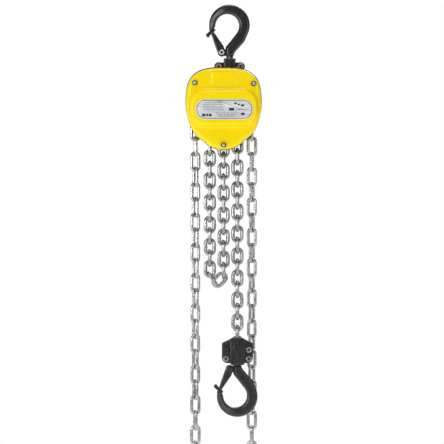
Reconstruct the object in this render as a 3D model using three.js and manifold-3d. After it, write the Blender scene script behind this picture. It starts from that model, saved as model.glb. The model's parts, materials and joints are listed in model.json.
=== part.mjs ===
// Hand chain hoist with one fall of 6 x 18 load chain.
// Millimetres, +Z up, the name plate faces -Y. The origin is the saddle of the top hook.
// Inside the hoist group, x and z are measured from the axis of the load sheave.

import * as THREE from 'three';
import { mergeVertices } from 'three/addons/utils/BufferGeometryUtils.js';
import Module from 'manifold-3d';

const wasm = await Module();
wasm.setup();

// ------------------------------------------------------------------ driving dimensions

const GAP = 0.3;
const SHEAVE_AXIS = new THREE.Vector3(-6, 0, -152.2);

const PLATE = { inner: 13, outer: 17, lip: 0.8, rise: 1.2 };
const COVER = { front: -32, bulge: -43.5, back: 62, wall: 2, edge: 3 };
const CUT_OFF = 90;
const STAY = { thread: 2.5, nut: 4.7, head: 6.4, headEnd: 66.5 };
const STAYS = [
  { side: 'left', x: -46.7, z: 38.8, radius: 4 },
  { side: 'right', x: 48.6, z: 37.4, radius: 4 },
  { side: 'bottom', x: 0, z: -62, radius: 3 },
];
const NAME_PLATE = { x: 1.2, z: -4.7, halfWidth: 46.5, halfHeight: 16.4, corner: 14.4, front: -44.4 };

const LOAD_CHAIN = { pitch: 18, wire: 5.6, halfWidth: 10, chamfer: 5.3 };
const HAND_CHAIN = { pitch: 25, wire: 4.7, halfWidth: 8.75, chamfer: 0 };
const FUSE = 0.15;

const LIFT_X = 22.5;
const LIFT = { firstZ: -386.3, links: 22 };
const SLACK = {
  firstZ: -263.2, links: 15, bendX: -12.8, bendZ: -287.4, returnZ: -67.7, returnLinks: 12,
};
const SHEAVE = { chainRadius: 23.5, drum: 17.8, groove: 11.2, flange: 21.5, tooth: 22.5, toothAngle: 25.5 };

const WHEEL = { y: 45, chainRadius: 48.3, strandX: 46.4, strandLinks: 23, step: 30 };
const SHAFT_RADIUS = 5;

const GEAR_DISTANCE = 25;
const FIRST_STAGE = { pinion: 8, wheel: 32 };
const SECOND_STAGE = { pinion: 8, wheel: 28 };

const RATCHET = { teeth: 20, tip: 25, root: 21.5, phase: 17.8 };
const PAWL_PIVOT = { x: 33, z: -16 };

const HOOK = { bowl: 19.4, half: 6.5, bevel: 2.2, shankX: 3.8, shank: 5.5, pivotX: -9.1, pivotZ: 43.4 };
const COLLAR = { radius: 7.4, groove: 4, start: 8.6, end: 13.4, shankEnd: 15.4 };
const YOKE = { x: 9.8, top: 79.6, half: 12.5, pinZ: 48, pinRadius: 5, lugX: 17.7, lugZ: 66.4, lugHalf: 8.5 };
const BLOCK = { bottom: -419.6, half: 13, lugHalf: 9, pinZ: -390.7, screwX: 18.6, screwZ: [-394.7, -409.2] };

const TOP_HOOK_Z = 132.8;
const LOAD_HOOK_NECK = 50;
const TOP_HOOK_NECK = TOP_HOOK_Z - YOKE.top;

// ------------------------------------------------------------------ materials

const finish = (color, roughness, metalness) =>
  new THREE.MeshStandardMaterial({ color, roughness, metalness });

const YELLOW = finish('#f7d600', 0.35, 0.1);
const BLACK_STEEL = finish('#1c1e20', 0.5, 0.6);
const ZINC = finish('#c4c6c6', 0.35, 0.9);
const STEEL = finish('#9b9da0', 0.4, 0.9);
const PLATE_SILVER = finish('#d8d9db', 0.4, 0.5);
const LINING = finish('#5b4636', 0.85, 0);

// ------------------------------------------------------------------ geometry helpers

const radians = THREE.MathUtils.degToRad;
const polar = (radius, angle) => new THREE.Vector2(
  radius * Math.cos(radians(angle)),
  radius * Math.sin(radians(angle)),
);

function toSolid(geometry) {
  const bare = geometry.clone();
  bare.deleteAttribute('normal');
  bare.deleteAttribute('uv');
  const merged = mergeVertices(bare, 1e-4);
  return new wasm.Manifold(new wasm.Mesh({
    numProp: 3,
    vertProperties: new Float32Array(merged.attributes.position.array),
    triVerts: new Uint32Array(merged.index.array),
  }));
}

function toGeometry(solid) {
  const mesh = solid.getMesh();
  const geometry = new THREE.BufferGeometry();
  geometry.setAttribute('position', new THREE.BufferAttribute(mesh.vertProperties, 3));
  geometry.setIndex(new THREE.BufferAttribute(mesh.triVerts, 1));
  geometry.computeVertexNormals();
  return geometry;
}

const join = (...parts) => toGeometry(parts.map(toSolid).reduce((whole, part) => whole.add(part)));

function cut(base, ...tools) {
  return toGeometry(tools.map(toSolid).reduce((rest, tool) => rest.subtract(tool), toSolid(base)));
}

const outline = (points) => new THREE.Shape(points.map(([x, z]) => new THREE.Vector2(x, z)));
const mirrored = (half) => [...half, ...half.slice().reverse().map(([x, z]) => [-x, z])];

// Extrudes an outline drawn in x and z from y0 to y1, with an optional bevel on both edges.
function slab(shape, y0, y1, bevel = 0) {
  const geometry = new THREE.ExtrudeGeometry(shape, {
    depth: y1 - y0 - 2 * bevel,
    bevelEnabled: bevel > 0,
    bevelThickness: bevel,
    bevelSize: bevel,
    bevelOffset: -bevel,
    bevelSegments: 1,
    curveSegments: 4,
  });
  return geometry.rotateX(Math.PI / 2).translate(0, y1 - bevel, 0);
}

// A cylinder along Y, centred on x and z.
function rod(x, z, y0, y1, radius, sides = 12) {
  return new THREE.CylinderGeometry(radius, radius, y1 - y0, sides).translate(x, (y0 + y1) / 2, z);
}

// A cylinder along Z, centred on x.
function column(x, z0, z1, radius, sides = 12) {
  return new THREE.CylinderGeometry(radius, radius, z1 - z0, sides)
    .rotateX(Math.PI / 2).translate(x, 0, (z0 + z1) / 2);
}

// A closed profile of [radius, y] pairs, turned about the Y axis.
function turned(profile, sides = 20) {
  return new THREE.LatheGeometry(profile.map(([radius, y]) => new THREE.Vector2(radius, y)), sides);
}

const ring = (inner, outer, y0, y1, sides = 16) =>
  turned([[inner, y0], [outer, y0], [outer, y1], [inner, y1], [inner, y0]], sides);

function box(x0, x1, y0, y1, z0, z1) {
  return new THREE.BoxGeometry(x1 - x0, y1 - y0, z1 - z0)
    .translate((x0 + x1) / 2, (y0 + y1) / 2, (z0 + z1) / 2);
}

// A bar with round ends or corners; each quarter turn has four sides.
function roundedBar(halfWidth, z0, z1, corner) {
  const points = [];
  for (let quarter = 0; quarter < 4; quarter += 1) {
    const x = quarter === 0 || quarter === 3 ? halfWidth - corner : corner - halfWidth;
    const z = quarter < 2 ? z1 - corner : z0 + corner;
    for (let i = 0; i <= 4; i += 1) {
      const point = polar(corner, 90 * quarter + 22.5 * i);
      points.push([x + point.x, z + point.y]);
    }
  }
  return outline(points);
}

// A round hole, drawn as the polygon around its circle.
function punch(shape, x, z, radius) {
  const sides = radius > 8 ? 20 : 8;
  const corner = radius / Math.cos(Math.PI / sides);
  const points = Array.from({ length: sides }, (_, i) => polar(corner, 360 * i / sides));
  shape.holes.push(new THREE.Path(points.map((point) => new THREE.Vector2(x + point.x, z + point.y))));
}

function add(group, name, geometry, material, x = 0, y = 0, z = 0) {
  const mesh = new THREE.Mesh(geometry, material);
  mesh.name = name;
  mesh.position.set(x, y, z);
  group.add(mesh);
  return mesh;
}

// ------------------------------------------------------------------ housing outline

const HOUSING_HALF = [
  [0, 63.2], [20, 62.3], [37, 58.5], [50, 49.9], [57.5, 37.3], [60.8, 19.6], [61.2, 2],
  [59.2, -13], [53, -33], [44.5, -45], [33, -54.5], [24, -62], [13, -67], [0, -69],
];
const HOUSING_POINTS = 32;

function housing(offset, rise = 0) {
  const left = HOUSING_HALF.slice(1, -1).reverse().map(([x, z]) => [-x, z]);
  const knots = [...HOUSING_HALF, ...left].map(([x, z]) => new THREE.Vector3(x, z, 0));
  const curve = new THREE.CatmullRomCurve3(knots, true, 'centripetal');
  const points = [];
  for (let i = 0; i < HOUSING_POINTS; i += 1) {
    const point = curve.getPointAt(i / HOUSING_POINTS);
    const along = curve.getTangentAt(i / HOUSING_POINTS);
    points.push([point.x - offset * along.y, point.y + offset * along.x + rise]);
  }
  return outline(points);
}

// ------------------------------------------------------------------ chains

// One link lies along z: an octagon, or a rectangle where there is no chamfer, with a rectangular
// hole. A relief lengthens the hole at one end.
function linkGeometry(chain, reliefStart, reliefEnd) {
  const inner = chain.pitch / 2 - FUSE;
  const outer = inner + chain.wire;
  const hole = chain.halfWidth - chain.wire;
  const octagon = (halfWidth, start, end, chamfer) => [
    [halfWidth, start + chamfer], [halfWidth, end - chamfer],
    [halfWidth - chamfer, end], [chamfer - halfWidth, end],
    [-halfWidth, end - chamfer], [-halfWidth, start + chamfer],
    [chamfer - halfWidth, start], [halfWidth - chamfer, start],
  ];
  const shape = outline(chain.chamfer > 0
    ? octagon(chain.halfWidth, -outer, outer, chain.chamfer)
    : mirrored([[chain.halfWidth, -outer], [chain.halfWidth, outer]]));
  const opening = mirrored([[hole, -inner - reliefStart], [hole, inner + reliefEnd]]);
  shape.holes.push(new THREE.Path(opening.map(([x, z]) => new THREE.Vector2(x, z))));
  return slab(shape, -chain.wire / 2, chain.wire / 2);
}

// Joins links laid between successive joints [x, z]. Even links face the front, turned by roll.
function chainGeometry(chain, joints, options = {}) {
  const { y = 0, roll = () => 0, reliefStart = 0, reliefEnd = 0, closed = false } = options;
  const count = closed ? joints.length : joints.length - 1;
  const solids = [];
  for (let i = 0; i < count; i += 1) {
    const [x0, z0] = joints[i];
    const [x1, z1] = joints[(i + 1) % joints.length];
    const link = linkGeometry(chain, i === 0 ? reliefStart : 0, i === count - 1 ? reliefEnd : 0);
    link.rotateZ(i % 2 * Math.PI / 2 + radians(roll(i)));
    link.rotateY(Math.atan2(x1 - x0, z1 - z0));
    link.translate((x0 + x1) / 2, y, (z0 + z1) / 2);
    solids.push(toSolid(link));
  }
  return toGeometry(solids.reduce((whole, link) => whole.add(link)));
}

const straightRun = (x, z, step, count) => Array.from({ length: count + 1 }, (_, i) => [x, z + i * step]);

function liftChain() {
  const start = LIFT.firstZ - LOAD_CHAIN.pitch / 2;
  return chainGeometry(LOAD_CHAIN, straightRun(LIFT_X, start, LOAD_CHAIN.pitch, LIFT.links));
}

const liftTopZ = LIFT.firstZ + (LIFT.links - 0.5) * LOAD_CHAIN.pitch;
const slackTopZ = SLACK.firstZ + (SLACK.links - 0.5) * LOAD_CHAIN.pitch;

// The stretch over the sheave clears both strands: its end links are eased, and the first is set out.
const WRAP = { relief: 2.4, shift: 0.5 };

function sheaveChain() {
  const joints = [[LIFT_X + WRAP.shift, liftTopZ]];
  for (const angle of [45, 90, 135]) {
    joints.push(polar(SHEAVE.chainRadius, angle).toArray());
  }
  joints.push([-LIFT_X, slackTopZ]);
  return chainGeometry(LOAD_CHAIN, joints, { reliefStart: WRAP.relief, reliefEnd: WRAP.relief });
}

function slackChain() {
  const down = straightRun(-LIFT_X, slackTopZ, -LOAD_CHAIN.pitch, SLACK.links);
  const returnTop = SLACK.returnZ + LOAD_CHAIN.pitch / 2;
  const up = straightRun(0, returnTop, -LOAD_CHAIN.pitch, SLACK.returnLinks).reverse();
  return chainGeometry(LOAD_CHAIN, [...down, [SLACK.bendX, SLACK.bendZ], ...up], { reliefEnd: GAP });
}

// The hand chain is one loop: over the wheel, down one side, round the bottom and up the other.
const HAND_BEND = [12, 43, 75.5];

function handChain() {
  const joints = [];
  for (let angle = 180; angle > 0; angle -= WHEEL.step) {
    joints.push(polar(WHEEL.chainRadius, angle).toArray());
  }
  joints.push([WHEEL.chainRadius, 0]);
  for (let i = 1; i <= WHEEL.strandLinks; i += 1) {
    joints.push([WHEEL.strandX, -i * HAND_CHAIN.pitch]);
  }
  const [cornerX, cornerZ] = joints[joints.length - 1];
  const turns = [...HAND_BEND, ...HAND_BEND.slice().reverse().map((angle) => 180 - angle)];
  let [x, z] = [cornerX, cornerZ];
  for (const turn of turns) {
    x -= HAND_CHAIN.pitch * Math.sin(radians(turn));
    z -= HAND_CHAIN.pitch * Math.cos(radians(turn));
    joints.push([x, z]);
  }
  for (let i = WHEEL.strandLinks - 1; i >= 1; i -= 1) {
    joints.push([-WHEEL.strandX, -i * HAND_CHAIN.pitch]);
  }
  return chainGeometry(HAND_CHAIN, joints, { y: WHEEL.y, roll: handRoll, closed: true });
}

// The free strands hang with a slow twist: it comes in over a few links and goes out again.
const WHEEL_LINKS = 180 / WHEEL.step;
const TWIST = { ramp: 5, right: [15, 40], left: [30, 30] };

function handRoll(link) {
  const strandTwist = (index, [top, bottom]) => {
    const fade = Math.min(1, index / TWIST.ramp, (WHEEL.strandLinks - 1 - index) / TWIST.ramp);
    return Math.max(0, fade) * THREE.MathUtils.lerp(top, bottom, index / WHEEL.strandLinks);
  };
  const right = link - WHEEL_LINKS;
  const left = WHEEL_LINKS + 2 * WHEEL.strandLinks + 2 * HAND_BEND.length - 1 - link;
  if (right >= 0 && right < WHEEL.strandLinks) {
    return strandTwist(right, TWIST.right);
  }
  if (left >= 0 && left < WHEEL.strandLinks) {
    return strandTwist(left, TWIST.left);
  }
  return 0;
}

// ------------------------------------------------------------------ gears and ratchet

// A toothed outline of straight-sided teeth; width is the tooth's share of the pitch at tip and root.
function gearShape(teeth, tip, root, tipShare, rootShare, offset = 0) {
  const points = [];
  const pitch = 360 / teeth;
  for (let i = 0; i < teeth; i += 1) {
    const centre = i * pitch + offset;
    points.push(polar(root, centre - rootShare * pitch / 2));
    points.push(polar(tip, centre - tipShare * pitch / 2));
    points.push(polar(tip, centre + tipShare * pitch / 2));
    points.push(polar(root, centre + rootShare * pitch / 2));
  }
  return new THREE.Shape(points);
}

function pinionShape(pitchRadius, module) {
  return gearShape(8, pitchRadius + 0.9 * module, pitchRadius - 1.2 * module, 0.2, 0.5);
}

function wheelShape(teeth, pitchRadius, module, offset) {
  return gearShape(teeth, pitchRadius + 0.75 * module, pitchRadius - 1.2 * module, 0.22, 0.52, offset);
}

const stageModule = (stage) => 2 * GEAR_DISTANCE / (stage.pinion + stage.wheel);
const pitchRadiusOf = (stage, teeth) => stageModule(stage) * teeth / 2;

function driveShaft() {
  const module = stageModule(FIRST_STAGE);
  const teeth = slab(pinionShape(pitchRadiusOf(FIRST_STAGE, FIRST_STAGE.pinion), module), -36, -29.4);
  const front = rod(0, 0, -40.5, -35, 3.5);
  return join(rod(0, 0, -29.5, 56, SHAFT_RADIUS), teeth, front);
}

function clusterGear(side) {
  const offset = side > 0 ? 180 : 0;
  const first = stageModule(FIRST_STAGE);
  const second = stageModule(SECOND_STAGE);
  const halfTooth = 180 / FIRST_STAGE.wheel;
  const largeRadius = pitchRadiusOf(FIRST_STAGE, FIRST_STAGE.wheel);
  const large = wheelShape(FIRST_STAGE.wheel, largeRadius, first, offset + halfTooth);
  const small = pinionShape(pitchRadiusOf(SECOND_STAGE, SECOND_STAGE.pinion), second);
  return join(
    slab(large, -35.5, -30),
    slab(small, -30.1, -19.8),
    rod(0, 0, -39, -13.2, 3.5),
  );
}

function loadGear() {
  const module = stageModule(SECOND_STAGE);
  const halfTooth = 180 / SECOND_STAGE.wheel;
  const radius = pitchRadiusOf(SECOND_STAGE, SECOND_STAGE.wheel);
  const shape = wheelShape(SECOND_STAGE.wheel, radius, module, halfTooth);
  punch(shape, 0, 0, 9 + GAP);
  return slab(shape, -27, -20);
}

function ratchetDisc() {
  const pitch = 360 / RATCHET.teeth;
  const points = [];
  for (let i = 0; i < RATCHET.teeth; i += 1) {
    const step = RATCHET.phase + i * pitch;
    points.push(polar(RATCHET.root, step));
    points.push(polar(RATCHET.tip, step + 0.5));
  }
  const shape = new THREE.Shape(points);
  punch(shape, 0, 0, 9 + GAP);
  return slab(shape, 24.1, 28.1);
}

function pawl() {
  const tip = [polar(23.6, 15), polar(24.5, 17.2)].map((point) => point.toArray());
  const corners = [[30, -17], [26.3, -1], ...tip, [28.5, 6], [37, -12]];
  const arm = outline(corners.map(([x, z]) => [x - PAWL_PIVOT.x, z - PAWL_PIVOT.z]));
  const body = join(slab(arm, 24.3, 27.9), rod(0, 0, 24.3, 27.9, 5.5));
  return cut(body, rod(0, 0, 24, 28.2, 3 + GAP));
}

// ------------------------------------------------------------------ sheave, wheel and brake

function loadSheave() {
  const { drum, groove, flange } = SHEAVE;
  const body = turned([
    [5.8, -26], [9, -26], [9, -17.5], [12, -17.5], [12, -12.5], [flange, -12.5], [flange, -10.6],
    [drum, -10.6], [drum, -3.9], [groove, -3.9], [groove, 3.9], [drum, 3.9], [drum, 10.6],
    [flange, 10.6], [flange, 12.5], [12, 12.5], [12, 17.5], [5.8, 17.5], [5.8, -26],
  ], 16);
  const teeth = [];
  for (let i = 0; i < 4; i += 1) {
    for (const [y0, y1] of [[-10.9, -4.2], [4.2, 10.9]]) {
      const tooth = box(drum - 2, SHEAVE.tooth, y0, y1, -2, 2);
      teeth.push(tooth.rotateY(-radians(SHEAVE.toothAngle + 90 * i)));
    }
  }
  return join(body, ...teeth);
}

function handWheel() {
  const at = (profile) => profile.map(([radius, y]) => [radius, y + WHEEL.y]);
  return turned(at([
    [5.3, -14.3], [13, -14.3], [13, -4], [33.5, -4], [33.5, -11.5], [52, -11.5], [52, -9.4],
    [43.2, -9.2], [43.2, -3.2], [37.3, -3.2], [37.3, 3.2], [43.2, 3.2], [43.2, 9.2], [52, 9.4],
    [52, 11.5], [33.5, 11.5], [33.5, 4], [5.3, 4], [5.3, -14.3],
  ]), 20);
}

const brakeHub = () => turned([
  [5.3, 18.5], [21, 18.5], [21, 21.5], [9, 21.5], [9, 30.4], [5.3, 30.4], [5.3, 18.5],
]);

function hexNut(hole, corner, y0, y1) {
  return cut(rod(0, 0, y0, y1, corner, 6), rod(0, 0, y0 - 1, y1 + 1, hole));
}

// ------------------------------------------------------------------ frame and covers

const ROLLER = { x: 40, z: -12, radius: 6, journal: 3 };
const STRIPPER_Z = -42;

function sidePlate(isGearSide) {
  const shape = housing(PLATE.lip, PLATE.rise);
  punch(shape, 0, 0, 17 + GAP);
  for (const stay of STAYS) {
    punch(shape, stay.x, stay.z, stay.radius + GAP);
  }
  punch(shape, YOKE.x, YOKE.pinZ, YOKE.pinRadius + GAP);
  punch(shape, 0, STRIPPER_Z, 2.8);
  for (const side of [-1, 1]) {
    punch(shape, side * ROLLER.x, ROLLER.z, ROLLER.journal + GAP);
    if (isGearSide) {
      punch(shape, side * GEAR_DISTANCE, 0, 3.8);
    } else {
      punch(shape, side * PAWL_PIVOT.x, side * PAWL_PIVOT.z, 3 + GAP);
    }
  }
  return isGearSide ? slab(shape, -PLATE.outer, -PLATE.inner) : slab(shape, PLATE.inner, PLATE.outer);
}

// Everything between two depths, for cutting a cover off at its rim.
const halfSpace = (y0, y1) => box(-CUT_OFF, CUT_OFF, y0, y1, -CUT_OFF, CUT_OFF);

const BULGE = { halfWidth: 56, bottom: -32, top: 28, corner: 26 };

function bulge(offset, y0, y1, bevel) {
  const { halfWidth, bottom, top, corner } = BULGE;
  const bar = roundedBar(halfWidth + offset, bottom - offset, top + offset, corner + offset);
  return slab(bar, y0, y1, bevel);
}

function gearCover() {
  const { front, wall, edge } = COVER;
  const inside = -PLATE.outer - GAP;
  const outer = join(
    cut(slab(housing(0), front, inside + edge, edge), halfSpace(inside, inside + CUT_OFF)),
    bulge(0, COVER.bulge, front + edge + 3, edge),
    slab(outline([[-18.5, 26], [-18.5, 60], [22, 60], [22, 26]]), front - 1, front + 1),
  );
  return cut(
    outer,
    slab(housing(-wall), front + wall, inside + 1),
    bulge(-wall, COVER.bulge + wall, front + wall + 1, 0),
    ...STAYS.map((stay) => rod(stay.x, stay.z, front - 2, front + 5, STAY.thread + GAP)),
  );
}

function namePlate() {
  const { halfWidth, halfHeight, corner, front } = NAME_PLATE;
  return slab(roundedBar(halfWidth, -halfHeight, halfHeight, corner), front, COVER.bulge - GAP);
}

function gearCase() {
  const inside = -PLATE.outer - GAP;
  const shell = cut(
    slab(roundedBar(49.5, -24.5, 24.5, 24.4), -39.5, inside),
    slab(roundedBar(47.5, -22.5, 22.5, 22.4), -37.5, inside + 1),
  );
  const bores = [-GEAR_DISTANCE, 0, GEAR_DISTANCE].map((x) => rod(x, 0, -41, -36, 3.8));
  return cut(shell, ...bores);
}

function wheelCover() {
  const { back, wall, edge } = COVER;
  const inside = PLATE.outer + GAP;
  const shell = cut(slab(housing(0), inside - edge, back, edge), halfSpace(inside - CUT_OFF, inside));
  const exits = [-1, 1].map((side) => box(side > 0 ? 35 : -64, side > 0 ? 64 : -35, 34.5, 55.5, -64, -18));
  return cut(
    join(shell, rod(0, 0, back - 1, back + 3, 30, 24)),
    slab(housing(-wall), inside - 1, back - wall),
    ...exits,
    ...STAYS.map((stay) => rod(stay.x, stay.z, back - 4, back + 4, stay.radius + GAP)),
  );
}

function stayBolt(radius) {
  return join(
    rod(0, 0, -36.5, -16.5, STAY.thread),
    rod(0, 0, -PLATE.outer, 64, radius),
    rod(0, 0, COVER.back + GAP, STAY.headEnd, STAY.head, 6),
  );
}

function suspensionPin() {
  const end = PLATE.outer + GAP;
  return join(
    rod(0, 0, -end - 1, end + 1, YOKE.pinRadius),
    rod(0, 0, -end - 2.2, -end, 7.5),
    rod(0, 0, end, end + 2.2, 7.5),
  );
}

function chainRoller() {
  return join(rod(0, 0, -12.5, 12.5, ROLLER.radius), rod(0, 0, -16.5, 16.5, ROLLER.journal));
}

function chainStripper() {
  return join(
    rod(0, 0, -12.7, 12.7, 4),
    rod(0, 0, -16.5, 16.5, 2.5),
    slab(outline([[-8, -6], [8, -6], [8, 10], [3, 25.5], [-3, 25.5], [-8, 10]]), -2.5, 2.5),
  );
}

function pawlPin() {
  return join(rod(0, 0, 13.2, 30, 3), rod(0, 0, 28.2, 30.5, 4.5));
}

// ------------------------------------------------------------------ yoke and lower block

// Half of a block that is split on the plane y = 0: front is -1, rear is +1.
function halfBlock(side, half, body, lugs, lugHalf, hollows) {
  const slice = (shape, depth) => (side < 0 ? slab(shape, -depth, -GAP / 2) : slab(shape, GAP / 2, depth));
  return cut(join(slice(body, half), ...lugs.map((lug) => slice(lug, lugHalf))), ...hollows);
}

// The bore that holds the hook's shank and its collar; the block's face is at z, up is the way in.
function shankHollow(x, z, up) {
  const reach = (from, to) => [Math.min(z + up * from, z + up * to), Math.max(z + up * from, z + up * to)];
  return [
    column(x, ...reach(-2, COLLAR.shankEnd + 0.7), HOOK.shank + 0.4),
    column(x, ...reach(COLLAR.start - 0.4, COLLAR.end + 0.4), COLLAR.radius + 0.4),
  ];
}

function yokeHalf(side) {
  const body = outline(mirrored([[9.7, YOKE.top], [9.7, 60], [10.5, 57], [10.5, 44], [7, 39]]));
  const lug = (sign) => {
    const shape = new THREE.Shape();
    shape.absarc(sign * YOKE.lugX, YOKE.lugZ, 7.2, 0, 2 * Math.PI);
    return shape;
  };
  const web = outline(mirrored([[YOKE.lugX, YOKE.lugZ + 7], [YOKE.lugX, YOKE.lugZ - 7]]));
  return halfBlock(side, YOKE.half, body, [lug(-1), lug(1), web], YOKE.lugHalf, [
    ...shankHollow(0, YOKE.top, -1),
    rod(0, YOKE.pinZ, -14, 14, YOKE.pinRadius + 0.4),
    rod(YOKE.lugX, YOKE.lugZ, -14, 14, 3 + GAP),
    rod(-YOKE.lugX, YOKE.lugZ, -14, 14, 3 + GAP),
  ]);
}

function yokeBolt() {
  return join(
    rod(0, 0, -10, 10, 3),
    rod(0, 0, -12.2, -YOKE.lugHalf - 0.2, 4.8),
    rod(0, 0, YOKE.lugHalf + 0.2, 12.2, 5, 6),
  );
}

function blockHalf(side) {
  const body = outline(mirrored([[7, -374.9], [12.5, -378], [12.5, -416.5], [10, BLOCK.bottom]]));
  const ears = outline(mirrored([[12, -377.5], [25.3, -384], [25.5, -408], [23, -414], [18.6, -416.5]]));
  const boss = side < 0 ? rod(0, BLOCK.pinZ, -14, -GAP / 2, 7.4) : rod(0, BLOCK.pinZ, GAP / 2, 14, 7.4);
  const half = join(halfBlock(side, BLOCK.half, body, [ears], BLOCK.lugHalf, []), boss);
  const screwHole = (sign, z) => rod(sign * BLOCK.screwX, z, -15, 15, 2.8 + GAP);
  const screws = [-1, 1].flatMap((sign) => BLOCK.screwZ.map((z) => screwHole(sign, z)));
  return cut(
    half,
    ...shankHollow(0, BLOCK.bottom, 1),
    box(-10.8, 10.8, -3.6, 3.6, -402, -370),
    box(-3.6, 3.6, -10.8, 10.8, -385, -370),
    rod(0, BLOCK.pinZ, -15, 15, 4 + GAP),
    rod(0, BLOCK.pinZ, -15, -12, 6 + GAP),
    ...screws,
  );
}

const chainPin = () => join(rod(0, 0, -13, 13, 4), rod(0, 0, -14, -12 - GAP, 6));

function blockScrew() {
  return join(rod(0, 0, -11, 12, 2.8), rod(0, 0, -13.3, -9.3, 4.7), rod(0, 0, 9.3, 12.5, 4.8, 6));
}

// ------------------------------------------------------------------ hook and latch

// The hook lies in x and z with the bowl's centre at the origin and the neck upwards.
const FACET = 18;

function hookOutline() {
  const points = [[10.6, 50], [10.6, 47], [12.3, 43], [15.8, 39.2], [22.5, 31.6], [28.6, 24.2]];
  for (let angle = 26; angle >= -197; angle -= 15) {
    const point = polar(33.25, angle);
    points.push([3.55 + point.x, point.y - 1.6]);
  }
  points.push([-29.1, 8.5], [-19.4, 0.3]);
  const facetRadius = HOOK.bowl / Math.cos(radians(FACET / 2));
  for (let angle = 270 - 4.5 * FACET; angle <= 390; angle += FACET) {
    points.push(polar(facetRadius, angle).toArray());
  }
  points.push([15.4, 11.9], [1.2, 29.8], [-3, 34.2], [-3, 50]);
  return outline(points);
}

function hook(neck) {
  const { shankX, shank, pivotX, pivotZ } = HOOK;
  const stem = turned([
    [0, 44], [shank, 44], [shank, neck + COLLAR.start - 0.2], [COLLAR.groove, neck + COLLAR.start - 0.2],
    [COLLAR.groove, neck + COLLAR.end], [shank, neck + COLLAR.end],
    [shank, neck + COLLAR.shankEnd], [0, neck + COLLAR.shankEnd],
  ], 12).rotateX(Math.PI / 2).translate(shankX, 0, 0);
  return cut(
    join(
      slab(hookOutline(), -HOOK.half, HOOK.half, HOOK.bevel),
      stem,
      rod(pivotX, pivotZ, -3.5, 3.5, 6),
      box(pivotX, 0, -3.5, 3.5, pivotZ - 5.5, pivotZ + 5.5),
    ),
    rod(pivotX, pivotZ, -8, 8, 3),
  );
}

function hookCollar(neck) {
  const { radius, groove, start, end } = COLLAR;
  const profile = [
    [groove + GAP, start + 0.1], [radius, start + 0.1], [radius, end - GAP],
    [groove + GAP, end - GAP], [groove + GAP, start + 0.1],
  ];
  return turned(profile, 12).rotateX(Math.PI / 2).translate(HOOK.shankX, 0, neck);
}

const LATCH = { half: 8.6, slot: 6.9, slotRadius: 21, pad: 2.3 };

// The latch is drawn about its own pin.
function latch() {
  const ear = [];
  for (let angle = 170; angle >= -30; angle -= 40) {
    ear.push(polar(6.3, angle).toArray());
  }
  const arm = outline([[-18, -33.2], ...ear, [4.9, -9.4], [-12.4, -31.9], [-15.1, -35.4]]);
  const [outer, inner] = [new THREE.Vector2(-23.1, -28.5), new THREE.Vector2(-11.6, -38.5)];
  const side = inner.clone().sub(outer).normalize().rotateAround(new THREE.Vector2(), Math.PI / 2)
    .multiplyScalar(LATCH.pad);
  const pad = new THREE.Shape([
    outer.clone().add(side), inner.clone().add(side), inner.clone().sub(side), outer.clone().sub(side),
  ]);
  return cut(
    join(
      slab(arm, -LATCH.half, LATCH.half, 0.8),
      slab(pad, -LATCH.half, LATCH.half),
      rod(outer.x + 0.6, outer.y + 0.5, -LATCH.half, LATCH.half, 2.9),
    ),
    rod(0, 0, -LATCH.slot, LATCH.slot, LATCH.slotRadius),
    rod(0, 0, -10, 10, 3),
  );
}

const latchPin = () => join(
  rod(0, 0, -9.5, 9.5, 2.7),
  rod(0, 0, -10.8, -LATCH.half - 0.4, 4.6),
  rod(0, 0, LATCH.half + 0.4, 10.8, 4.6),
);

function latchSpring() {
  const turns = 2;
  const steps = 16;
  const points = [];
  for (let i = 0; i <= steps; i += 1) {
    const turn = polar(4.4, 360 * turns * i / steps - 60);
    points.push(new THREE.Vector3(turn.x, -6.0 + 1.6 * i / steps, turn.y));
  }
  const section = new THREE.Shape();
  section.absarc(0, 0, 0.55, 0, 2 * Math.PI);
  return new THREE.ExtrudeGeometry(section, {
    steps,
    extrudePath: new THREE.CatmullRomCurve3(points),
    bevelEnabled: false,
    curveSegments: 2,
  });
}

function addHook(group, prefix, neck) {
  add(group, `${prefix}_hook`, hook(neck), BLACK_STEEL);
  add(group, `${prefix}_hook_collar`, hookCollar(neck), STEEL);
  add(group, `${prefix}_latch`, latch(), BLACK_STEEL, HOOK.pivotX, 0, HOOK.pivotZ);
  add(group, `${prefix}_latch_pin`, latchPin(), ZINC, HOOK.pivotX, 0, HOOK.pivotZ);
  add(group, `${prefix}_latch_spring`, latchSpring(), STEEL, HOOK.pivotX, 0, HOOK.pivotZ);
}

// ------------------------------------------------------------------ assembly

const hoist = new THREE.Group();
hoist.position.copy(SHEAVE_AXIS);

const topHook = new THREE.Group();
topHook.position.set(-SHEAVE_AXIS.x, 0, TOP_HOOK_Z);
topHook.rotation.x = Math.PI;
hoist.add(topHook);
addHook(topHook, 'top', TOP_HOOK_NECK);

const yoke = new THREE.Group();
yoke.position.set(YOKE.x, 0, 0);
hoist.add(yoke);
add(yoke, 'yoke_front_half', yokeHalf(-1), BLACK_STEEL);
add(yoke, 'yoke_rear_half', yokeHalf(1), BLACK_STEEL);
add(yoke, 'yoke_bolt_left', yokeBolt(), ZINC, -YOKE.lugX, 0, YOKE.lugZ);
add(yoke, 'yoke_bolt_right', yokeBolt(), ZINC, YOKE.lugX, 0, YOKE.lugZ);
add(yoke, 'suspension_pin', suspensionPin(), STEEL, 0, 0, YOKE.pinZ);

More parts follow.
